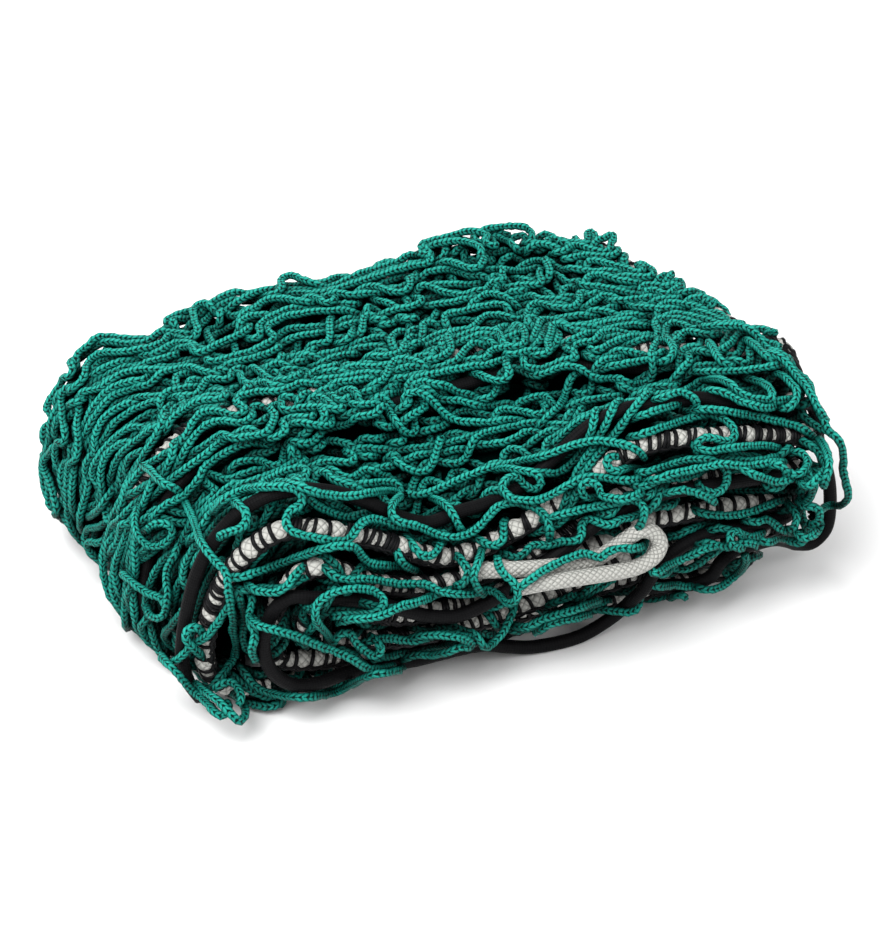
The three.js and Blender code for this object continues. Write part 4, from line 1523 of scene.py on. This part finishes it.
class Finish:
    """One material, built node by node."""

    def __init__(self, name):
        self.material = bpy.data.materials.new(name)
        self.material.use_nodes = True
        self.tree = self.material.node_tree
        self.tree.nodes.clear()
        self.shader = self.node("ShaderNodeBsdfPrincipled")
        output = self.node("ShaderNodeOutputMaterial")
        self.tree.links.new(self.shader.outputs["BSDF"], output.inputs["Surface"])

    def node(self, kind, settings=None, sockets=None):
        made = self.tree.nodes.new(kind)
        for key, value in (settings or {}).items():
            if key == "stops":
                ramp = made.color_ramp
                while len(ramp.elements) < len(value):
                    ramp.elements.new(0.5)
                for element, (place, colour) in zip(ramp.elements, value):
                    element.position = place
                    element.color = (*colour, 1.0)
            else:
                setattr(made, key, value)
        for key, value in (sockets or {}).items():
            self.plug(made.inputs[key], value)
        return made

    def plug(self, socket, value):
        if isinstance(value, Signal):
            self.tree.links.new(value.socket, socket)
        elif isinstance(value, bpy.types.NodeSocket):
            self.tree.links.new(value, socket)
        elif isinstance(value, (tuple, list)) and socket.type == "RGBA":
            socket.default_value = (*value[:3], 1.0)
        else:
            socket.default_value = value

    def value(self, kind, settings=None, sockets=None, output=0):
        return Signal(self, self.node(kind, settings, sockets).outputs[output])

    def attribute(self, label):
        return self.value("ShaderNodeAttribute", {"attribute_name": label}, output="Fac")

    def noise(self, scale, detail=3.0, roughness=0.55):
        where = self.node("ShaderNodeTexCoord").outputs["Object"]
        sockets = {"Vector": where, "Scale": scale, "Detail": detail, "Roughness": roughness}
        return self.value("ShaderNodeTexNoise", None, sockets, output=0)

    def colours(self, factor, stops):
        return self.node("ShaderNodeValToRGB", {"stops": stops}, {"Fac": factor}).outputs["Color"]

    def blend(self, factor, first, second):
        made = self.node("ShaderNodeMix", {"data_type": "RGBA"})
        self.plug(made.inputs["Factor"], factor)
        self.plug(made.inputs[6], first)
        self.plug(made.inputs[7], second)
        return made.outputs[2]

    def lay(self):
        """How far along a cord, in millimetres, and how far round it, 0 to 1."""
        where = self.node("ShaderNodeUVMap", {"uv_map": "lay"}).outputs["UV"]
        split = self.node("ShaderNodeSeparateXYZ", None, {"Vector": where})
        return Signal(self, split.outputs["X"]), Signal(self, split.outputs["Y"])

    def bump(self, height, distance, strength=1.0):
        sockets = {"Height": height, "Distance": distance, "Strength": strength}
        made = self.node("ShaderNodeBump", None, sockets)
        self.tree.links.new(made.outputs["Normal"], self.shader.inputs["Normal"])

    def set(self, **sockets):
        for key, value in sockets.items():
            self.plug(self.shader.inputs[key.replace("_", " ")], value)
        return self.material


def netting_finish(colours):
    finish = Finish("netting")
    along, around = finish.lay()
    light = finish.attribute("light")
    column = around * KNIT_COLUMNS
    slant = ((column * 0.5).part() - 0.5).size() * 2.0
    loose = finish.noise(scale=600.0) - 0.5
    stitch = (along / STITCH_LENGTH + slant + loose * STITCH_LOOSENESS).part() - 0.5
    across = column.part() - 0.5
    body = 1.0 - stitch * stitch * STITCH_ROUNDNESS - across * across * COLUMN_ROUNDNESS
    # The knit's colour is partly painted: stitch shape and fine noise set the level, giving painted shade in
    # the pits, the yarn's own colour between, and painted highlight on the stitch tops and at random specks
    # of the fine noise.
    level = body * STITCH_SHARE + finish.noise(scale=1500.0) * FIBRE_SHARE - LEVEL_SHIFT
    knit_shade_and_highlight = finish.colours(level, [
        (0.25, colours.net_pit_shade),
        (0.46, colours.net_yarn),
        (0.9, colours.net_painted_highlight),
    ])
    # Painted shade: where the light attribute is low the colour fades to the painted shade colour, darkening
    # cords and cord sides hidden by others.
    painted_lighting = finish.colours(light, [(0.08, (0, 0, 0)), (0.74, (1, 1, 1))])
    fibre = finish.noise(scale=2600.0, detail=2.0)
    finish.bump(body + fibre * FIBRE_BUMP, distance=0.0006, strength=0.8)
    return finish.set(
        Base_Color=finish.blend(painted_lighting, tuple(colours.net_painted_shade), knit_shade_and_highlight),
        Roughness=0.4,
        Specular_IOR_Level=0.06,
    )


# A near-black painted shade finish for the sheet inside the fold, mottled by grain noise between two shade
# colours.
def inside_shade_finish(colours):
    finish = Finish("netting_inside_shade")
    grain = finish.noise(scale=700.0)
    finish.bump(grain, distance=0.0008)
    return finish.set(
        Base_Color=finish.blend(grain, tuple(colours.net_painted_shade), tuple(colours.net_pit_shade)),
        Roughness=0.9,
        Specular_IOR_Level=0.0,
    )


def braid(finish, pitch, strands):
    """The two crossing sets of ribs of a round braid, with pitch in millimetres."""
    along, around = finish.lay()
    turn = 2 * math.pi
    left = (along * (turn / pitch) + around * (turn * strands)).sine()
    right = (along * (turn / pitch) - around * (turn * strands)).sine()
    return left, right


def rope_finish(name, light, groove_shade, pitch, strands):
    finish = Finish(name)
    left, right = braid(finish, pitch, strands)
    # The braid's ribs set the colour: painted shade in the grooves between strands, the rope's own colour on
    # the strands, mottled at random by wear noise.
    ribs = (left * right).size() ** 0.5
    wear = finish.noise(scale=260.0)
    level = ribs * 0.55 + wear * 0.5
    fibre = finish.noise(scale=2200.0, detail=2.0)
    finish.bump(ribs + fibre * FIBRE_BUMP, distance=0.0006)
    return finish.set(
        Base_Color=finish.colours(level, [(0.12, groove_shade), (0.55, light)]),
        Roughness=0.62,
        Specular_IOR_Level=0.25,
    )


def elastic_finish(colours):
    finish = Finish("elastic")
    left, right = braid(finish, pitch=2.2, strands=10)
    ribs = (left * right + 1.0) * 0.5
    dust = finish.noise(scale=420.0)
    finish.bump(ribs, distance=0.00014, strength=0.7)
    # Painted sheen: the braid's raised ribs are lighter, up to 2.2 times the sheath's black, with random
    # mottling from the dust noise.
    return finish.set(
        Base_Color=finish.colours(ribs * 0.5 + dust * 0.5, [
            (0.2, tuple(colours.elastic)),
            (0.9, tuple(2.2 * c for c in colours.elastic)),
        ]),
        Roughness=0.5,
        Specular_IOR_Level=0.04,
    )


def thread_finish(colours):
    finish = Finish("whip_thread")
    fuzz = finish.noise(scale=1800.0)
    finish.bump(fuzz, distance=0.0001, strength=0.6)
    return finish.set(
        Base_Color=finish.colours(fuzz, [
            (0.3, tuple(colours.thread)),
            (0.8, tuple(2.0 * c for c in colours.thread)),
        ]),
        Roughness=0.42,
        Specular_IOR_Level=0.1,
    )


def floor_finish(colours):
    finish = Finish("floor")
    soft = finish.noise(scale=3.0)
    paler = tuple(min(1.0, 1.02 * c) for c in colours.floor)
    return finish.set(
        Base_Color=finish.blend(soft, tuple(colours.floor), paler),
        Roughness=0.9,
    )


# Rope with its whip stitches, in millimetres


ROPE_STEP = 0.8
ROPE_SIDES = 14
LUMP_CHANCE = 0.62
LUMP_GAPS = (2.8, 6.4)
CLOSE_GAPS = (1.3, 2.0)
FIRST_STITCH = 2.0
LAST_STITCH = 3.0
FULL_GAP = 5.0
BULGE_WIDTHS = (0.2, 1.15)
NECK = 0.72
BULGE = 0.4
THREAD_SIDES = 5
RUNG_POINTS = 15
RUNG_START = math.radians(38)
RUNG_SWEEP = math.radians(330)
RUNG_LEAN = (3.2, 1.5)
RUNG_SEAT = 0.82
RUNG_SINK = 0.7
RUNG_WANDER = 0.12
RUNG_WANDER_TURN = 7
RAIL_STEP = 1.5
RAIL_INSET = 2.0
RAIL_DEGREES = (24, 50)
RAIL_SEAT = 0.93
RAIL_SINK = 0.6
RAIL_SWAY = 0.16
RAIL_SWAY_LENGTH = 4.3
RAIL_WAVE = 0.25
RAIL_WAVE_LENGTH = 5.1
STEEP_TURN = 0.8


def rope_frame(line):
    """For a rope's stations: the way away from the net, and down or inwards."""
    way = unit(np.gradient(line, axis=0))
    steep = np.abs(way[:, 2:3])
    down = np.array([[0.0, 0.0, -1.0]]) * (1 - steep) + np.array([[1.0, 0.0, 0.0]]) * steep
    down -= way * (down * way).sum(1, keepdims=True)
    down = unit(down)
    out = np.cross(way, down)
    wanted = np.where(np.abs(way[:, 1:2]) > STEEP_TURN, [[1.0, 0.0, 0.0]], [[0.0, -1.0, 0.0]])
    out *= np.sign((out * wanted).sum(1, keepdims=True))
    return out, down


def stitch_places(total, rng):
    """How far along a rope its stitches are: rows of close ones with longer gaps between them."""
    lumps = rng.random(int(total)) < LUMP_CHANCE
    gaps = np.where(lumps, rng.uniform(*LUMP_GAPS, len(lumps)), rng.uniform(*CLOSE_GAPS, len(lumps)))
    places = np.cumsum(gaps) + FIRST_STITCH
    return places[places < total - LAST_STITCH]


def bulged_radius(count, places, diameter):
    """The radius of a rope at its stations, drawn in at each stitch."""
    along = np.arange(count) * ROPE_STEP
    after = np.clip(np.searchsorted(places, along), 1, len(places) - 1)
    share = (along - places[after - 1]) / (places[after] - places[after - 1])
    wide = np.clip((places[after] - places[after - 1]) / FULL_GAP, *BULGE_WIDTHS)
    bulge = np.sqrt(np.clip(np.sin(math.pi * np.clip(share, 0, 1)), 0, 1))
    return diameter / 2 * (NECK + BULGE * wide * bulge)


def sewn_rope(name, line, diameter, rng, sizes):
    """A rope that bulges between its stitches, and the black thread sewn round it."""
    line = even_steps(line, ROPE_STEP)
    total = (len(line) - 1) * ROPE_STEP
    places = stitch_places(total, rng)
    rope = round_tube(name + "_braid", line, bulged_radius(len(line), places, diameter), ROPE_SIDES)

    out, down = rope_frame(line)
    thread = sizes.thread_diameter / MM / 2

    def around(at, angle, far):
        k = np.clip(at / ROPE_STEP, 0, len(line) - 1.001)
        i = k.astype(int)
        t = (k - i)[..., None]
        middle, o, d = (mix(a[i], a[i + 1], t) for a in (line, out, down))
        rim = np.cos(angle)[..., None] * o + np.sin(angle)[..., None] * d
        return middle + far[..., None] * rim

    turn = np.linspace(0, 1, RUNG_POINTS)[None]
    lean = rng.normal(*RUNG_LEAN, (len(places), 1))
    angle = RUNG_START - RUNG_SWEEP * turn
    at = places[:, None] + lean * (1 - np.cos(math.pi * turn)) / 2
    wander = RUNG_WANDER * np.sin(RUNG_WANDER_TURN * turn + lean)
    rungs = around(at, angle, diameter / 2 * RUNG_SEAT + thread * RUNG_SINK + wander)

    walk = np.arange(RAIL_INSET, total - RAIL_INSET, RAIL_STEP)
    wave = RAIL_WAVE * np.sin(2 * math.pi * walk / RAIL_WAVE_LENGTH)
    far = diameter / 2 * RAIL_SEAT + thread * RAIL_SINK + wave
    rails = []
    for degrees in RAIL_DEGREES:
        sway = RAIL_SWAY * np.sin(2 * math.pi * walk / RAIL_SWAY_LENGTH + degrees)
        rails.append(around(walk, math.radians(degrees) + sway, far))

    points, faces, count = [], [], 0
    for lines in (rungs, np.stack(rails)):
        rim = tube_points(lines, thread, THREAD_SIDES)
        quads, caps = tube_faces(np.ones(lines.shape[:2], bool), THREAD_SIDES)
        points.append(rim.reshape(-1, 3))
        faces += [quads + count, caps + count]
        count += rim.size // 3
    stitches = mesh_object(name + "_stitches", np.vstack(points), faces)
    return rope, stitches


# Settings


class NetSizes(bpy.types.PropertyGroup):
    """Sizes of the netting"""
    cord_diameter: bpy.props.FloatProperty(
        name="Net cord", description="Thickness of one knitted cord", default=0.0033, unit="LENGTH")
    mesh_side: bpy.props.FloatProperty(
        name="Mesh side", description="Cord length between two junctions", default=0.045, unit="LENGTH")
    inner_advance: bpy.props.FloatProperty(
        name="Inner advance", description="Strip length between junction rows inside the pack", default=0.034,
        unit="LENGTH")
    outer_advance: bpy.props.FloatProperty(
        name="Outer advance", description="Strip length between junction rows on the outermost fold",
        default=0.0295, unit="LENGTH")
    curl_share: bpy.props.FloatProperty(
        name="Curls", description="Share of the outermost stretches that lie in one curl", default=0.27)
    sheet_cords: bpy.props.IntProperty(
        name="Cords in a sheet", description="Cords side by side in each half of the strip", default=34)
    front_cords: bpy.props.IntProperty(
        name="Loose front cords", description="Cords that hang in loops over the border rope", default=10)
    segment_steps: bpy.props.IntProperty(
        name="Stretch steps", description="Points along each stretch of cord", default=15)
    settle_rounds: bpy.props.IntProperty(
        name="Settling rounds", description="How long the cords are let settle", default=240)
    quick_rounds: bpy.props.IntProperty(
        name="Quick rounds", description="Settling rounds for a quick look", default=60)
    look_count: bpy.props.IntProperty(
        name="Look directions", description="Directions from which shown cords are found", default=30)
    shown_share: bpy.props.FloatProperty(
        name="Shown share", description="How much of a cord must be in sight for it to be made in full",
        default=0.6)
    press_limit: bpy.props.FloatProperty(
        name="Press", description="How far cords may stand out from the outermost fold's middle",
        default=0.0055, unit="LENGTH")
    net_pieces: bpy.props.IntProperty(
        name="Net meshes", description="Meshes that the net is split into", default=8)
    seed: bpy.props.IntProperty(name="Seed", description="Seed of the uneven lay", default=11)
    thread_diameter: bpy.props.FloatProperty(
        name="Thread", description="Thickness of the whip thread", default=0.0016, unit="LENGTH")


class NetColours(bpy.types.PropertyGroup):
    """Colours of the net, its cords and the floor, with the painted shade and painted highlight of the net's
    yarn
    """
    net_yarn: bpy.props.FloatVectorProperty(
        name="Yarn", description="Net yarn", subtype="COLOR", size=3, default=(0.007, 0.2, 0.158))
    # Painted highlight on the tops of the stitches.
    net_painted_highlight: bpy.props.FloatVectorProperty(
        name="Raised yarn", description="Top of a stitch", subtype="COLOR", size=3,
        default=(0.02, 0.335, 0.268))
    # Painted shade in the pits between stitches.
    net_pit_shade: bpy.props.FloatVectorProperty(
        name="Stitch pit", description="Pits between stitches", subtype="COLOR", size=3,
        default=(0.0003, 0.008, 0.0065))
    # Painted shade colour for cords inside the pack and for cord sides hidden by other cords.
    net_painted_shade: bpy.props.FloatVectorProperty(
        name="Inner cord", description="Cords inside the pack", subtype="COLOR", size=3,
        default=(0.0002, 0.003, 0.0025))
    rope: bpy.props.FloatVectorProperty(
        name="Rope", description="White rope", subtype="COLOR", size=3, default=(0.44, 0.44, 0.41))
    elastic: bpy.props.FloatVectorProperty(
        name="Elastic", description="Sheath of the elastic", subtype="COLOR", size=3,
        default=(0.003, 0.003, 0.0033))
    thread: bpy.props.FloatVectorProperty(
        name="Thread", description="Whip thread", subtype="COLOR", size=3, default=(0.003, 0.003, 0.0035))
    floor: bpy.props.FloatVectorProperty(
        name="Floor", description="Studio floor", subtype="COLOR", size=3, default=(0.86, 0.86, 0.86))


class StageSizes(bpy.types.PropertyGroup):
    """Where the camera stands"""
    azimuth: bpy.props.FloatProperty(
        name="Azimuth", description="Camera heading", default=math.radians(-22.9), subtype="ANGLE")
    elevation: bpy.props.FloatProperty(
        name="Elevation", description="Camera height angle", default=math.radians(35.0), subtype="ANGLE")
    distance: bpy.props.FloatProperty(
        name="Distance", description="Camera to the pack's middle", default=1.25, unit="LENGTH")
    focal_pixels: bpy.props.FloatProperty(
        name="Focal length in pixels", description="Focal length for a frame 893 pixels wide",
        default=3368.0)


# The studio, in metres; the picture's middle lies some pixels off the pack's middle
PACK_MIDDLE = 0.038
PIXELS_RIGHT = 19.2
PIXELS_DOWN = 14.1
SENSOR_WIDTH = 36.0
CLIP_END = 20.0
FLOOR_HALF = 6.0
SKY_STRENGTH = 0.58
LAMP_TARGET = 0.04

Lamp = namedtuple("Lamp", "name x y z size power")
LAMPS = (
    Lamp("key", -0.7, -0.5, 1.2, 0.9, 27.0),
    Lamp("fill", 0.8, -1.0, 0.9, 0.8, 6.5),
    Lamp("back", 0.0, 1.2, 1.0, 1.0, 9.0),
)


def camera_view(stage):
    """The camera's place and its right, up and back directions."""
    back = Vector((
        math.sin(stage.azimuth) * math.cos(stage.elevation),
        -math.cos(stage.azimuth) * math.cos(stage.elevation),
        math.sin(stage.elevation),
    ))
    right = Vector((math.cos(stage.azimuth), math.sin(stage.azimuth), 0))
    up = back.cross(right)
    pixel = stage.distance / stage.focal_pixels
    target = Vector((0, 0, PACK_MIDDLE)) + right * (PIXELS_RIGHT * pixel) - up * (PIXELS_DOWN * pixel)
    return target + back * stage.distance, right, up, back


def finish_piece(piece, material, slot, *nodes):
    piece.data.materials.append(material)
    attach(piece, "root")
    if nodes:
        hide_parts(*nodes)
    return piece


# Operators


class COVERNET_OT_stage(bpy.types.Operator):
    """Add the floor, the lights and the camera"""
    bl_idname = "covernet.stage"
    bl_label = "Studio stage"

    def execute(self, context):
        scene = context.scene
        stage = scene.covernet_stage
        place, _, _, back = camera_view(stage)
        lens = bpy.data.cameras.new("camera")
        lens.sensor_width = SENSOR_WIDTH
        lens.sensor_fit = "HORIZONTAL"
        lens.lens = SENSOR_WIDTH * stage.focal_pixels / PICTURE_WIDE
        lens.clip_end = CLIP_END
        camera = bpy.data.objects.new("camera", lens)
        camera.location = place
        camera.rotation_euler = back.to_track_quat("Z", "Y").to_euler()
        scene.collection.objects.link(camera)
        scene.camera = camera
        floor = bpy.data.meshes.new("floor")
        corners = [(x * FLOOR_HALF, y * FLOOR_HALF, 0) for x, y in ((-1, -1), (1, -1), (1, 1), (-1, 1))]
        floor.from_pydata(corners, [], [(0, 1, 2, 3)])
        floor.materials.append(floor_finish(scene.covernet_colours))
        ground = bpy.data.objects.new("floor", floor)
        scene.collection.objects.link(ground)
        self.lights(scene)
        scene.view_settings.view_transform = "Standard"
        return {"FINISHED"}

    def lights(self, scene):
        world = bpy.data.worlds.new("studio")
        world.use_nodes = True
        sky = world.node_tree.nodes["Background"]
        sky.inputs["Color"].default_value = (1.0, 1.0, 1.0, 1.0)
        sky.inputs["Strength"].default_value = SKY_STRENGTH
        scene.world = world
        for lamp in LAMPS:
            light = bpy.data.lights.new(lamp.name, "AREA")
            light.size = lamp.size
            light.energy = lamp.power
            holder = bpy.data.objects.new(lamp.name, light)
            holder.location = (lamp.x, lamp.y, lamp.z)
            away = Vector((lamp.x, lamp.y, lamp.z - LAMP_TARGET))
            holder.rotation_euler = away.to_track_quat("Z", "Y").to_euler()
            scene.collection.objects.link(holder)


class COVERNET_OT_ropes(bpy.types.Operator):
    """Add the border rope, the set-back rope and their whip stitches"""
    bl_idname = "covernet.ropes"
    bl_label = "Ropes and whip stitches"

    def execute(self, context):
        sizes, colours = context.scene.covernet_sizes, context.scene.covernet_colours
        # Painted shade for the braid's grooves, at 0.45 of the rope's colour.
        groove_shade = tuple(0.45 * c for c in colours.rope)
        white = rope_finish("white_rope", tuple(colours.rope), groove_shade, pitch=6.5, strands=3)
        thread = thread_finish(colours)
        rng = np.random.default_rng(sizes.seed + 2)
        lines = routes()
        for name in ("border_rope", "set_back_rope"):
            rope, stitches = sewn_rope(name, *lines[name], rng, sizes)
            finish_piece(rope, white, "white_rope", name)
            finish_piece(stitches, thread, "black_elastic")
        return {"FINISHED"}


class COVERNET_OT_elastics(bpy.types.Operator):
    """Add the three stretches of black elastic cord"""
    bl_idname = "covernet.elastics"
    bl_label = "Elastic cords"

    def execute(self, context):
        sheath = elastic_finish(context.scene.covernet_colours)
        lines = routes()
        for name in ("edge_elastic", "top_elastic", "set_back_elastic"):
            line, diameter = lines[name]
            piece = round_tube(name + "_sheath", even_steps(line, ELASTIC_STEP), diameter / 2, ELASTIC_SIDES)
            finish_piece(piece, sheath, "black_elastic", name)
        return {"FINISHED"}


class COVERNET_OT_draw_cord(bpy.types.Operator):
    """Add the doubled white draw cord"""
    bl_idname = "covernet.draw_cord"
    bl_label = "Draw cord"

    def execute(self, context):
        colours = context.scene.covernet_colours
        light = tuple(0.95 * c for c in colours.rope)
        # Painted shade for the braid's grooves, at half the rope's colour.
        groove_shade = tuple(0.5 * c for c in colours.rope)
        white = rope_finish("draw_cord_braid", light, groove_shade, pitch=5.0, strands=4)
        line, diameter = routes()["draw_cord"]
        piece = round_tube("draw_cord_braid", even_steps(line, DRAW_CORD_STEP), diameter / 2, DRAW_CORD_SIDES)
        finish_piece(piece, white, "white_draw_cord", "draw_cord")
        return {"FINISHED"}


class COVERNET_OT_netting(bpy.types.Operator):
    """Lay the knitted cords of the net and let them settle"""
    bl_idname = "covernet.netting"
    bl_label = "Netting"

    def execute(self, context):
        sizes = context.scene.covernet_sizes
        yarn = netting_finish(context.scene.covernet_colours)
        diamond = 2 * sizes.mesh_side * math.sin(MESH_OPENING)
        pieces, inside = net_pieces(sizes, routes(), context.scene.covernet_stage)
        for piece, cord_length in pieces:
            finish_piece(piece, yarn, "green_netting", "net")
            length = cord_length * math.cos(MESH_OPENING) / 2
            cloth = cord_length * math.pi * sizes.cord_diameter / 2
        finish_piece(inside, inside_shade_finish(context.scene.covernet_colours), "green_netting", "net")
        cloth = sum(face.area for face in inside.data.polygons)
        cloth / INSIDE_WIDTH
        return {"FINISHED"}


class COVERNET_PT_panel(bpy.types.Panel):
    """Builds the folded cover net piece by piece"""
    bl_label = "Folded cover net"
    bl_idname = "COVERNET_PT_panel"
    bl_space_type = "VIEW_3D"
    bl_region_type = "UI"
    bl_category = "Cover net"

    def draw(self, context):
        for operator in OPERATORS:
            self.layout.operator(operator.bl_idname)


OPERATORS = (
    COVERNET_OT_stage,
    COVERNET_OT_ropes,
    COVERNET_OT_elastics,
    COVERNET_OT_draw_cord,
    COVERNET_OT_netting,
)
GROUPS = (NetSizes, NetColours, StageSizes)
CLASSES = GROUPS + OPERATORS + (COVERNET_PT_panel,)


def register():
    for each in CLASSES:
        bpy.utils.register_class(each)
    bpy.types.Scene.covernet_sizes = bpy.props.PointerProperty(type=NetSizes)
    bpy.types.Scene.covernet_colours = bpy.props.PointerProperty(type=NetColours)
    bpy.types.Scene.covernet_stage = bpy.props.PointerProperty(type=StageSizes)


def unregister():
    del bpy.types.Scene.covernet_stage
    del bpy.types.Scene.covernet_colours
    del bpy.types.Scene.covernet_sizes
    for each in reversed(CLASSES):
        bpy.utils.unregister_class(each)


def main():
    register()
    bpy.ops.covernet.stage()
    bpy.ops.covernet.ropes()
    bpy.ops.covernet.elastics()
    bpy.ops.covernet.draw_cord()
    bpy.ops.covernet.netting()


if __name__ == "__main__":
    main()
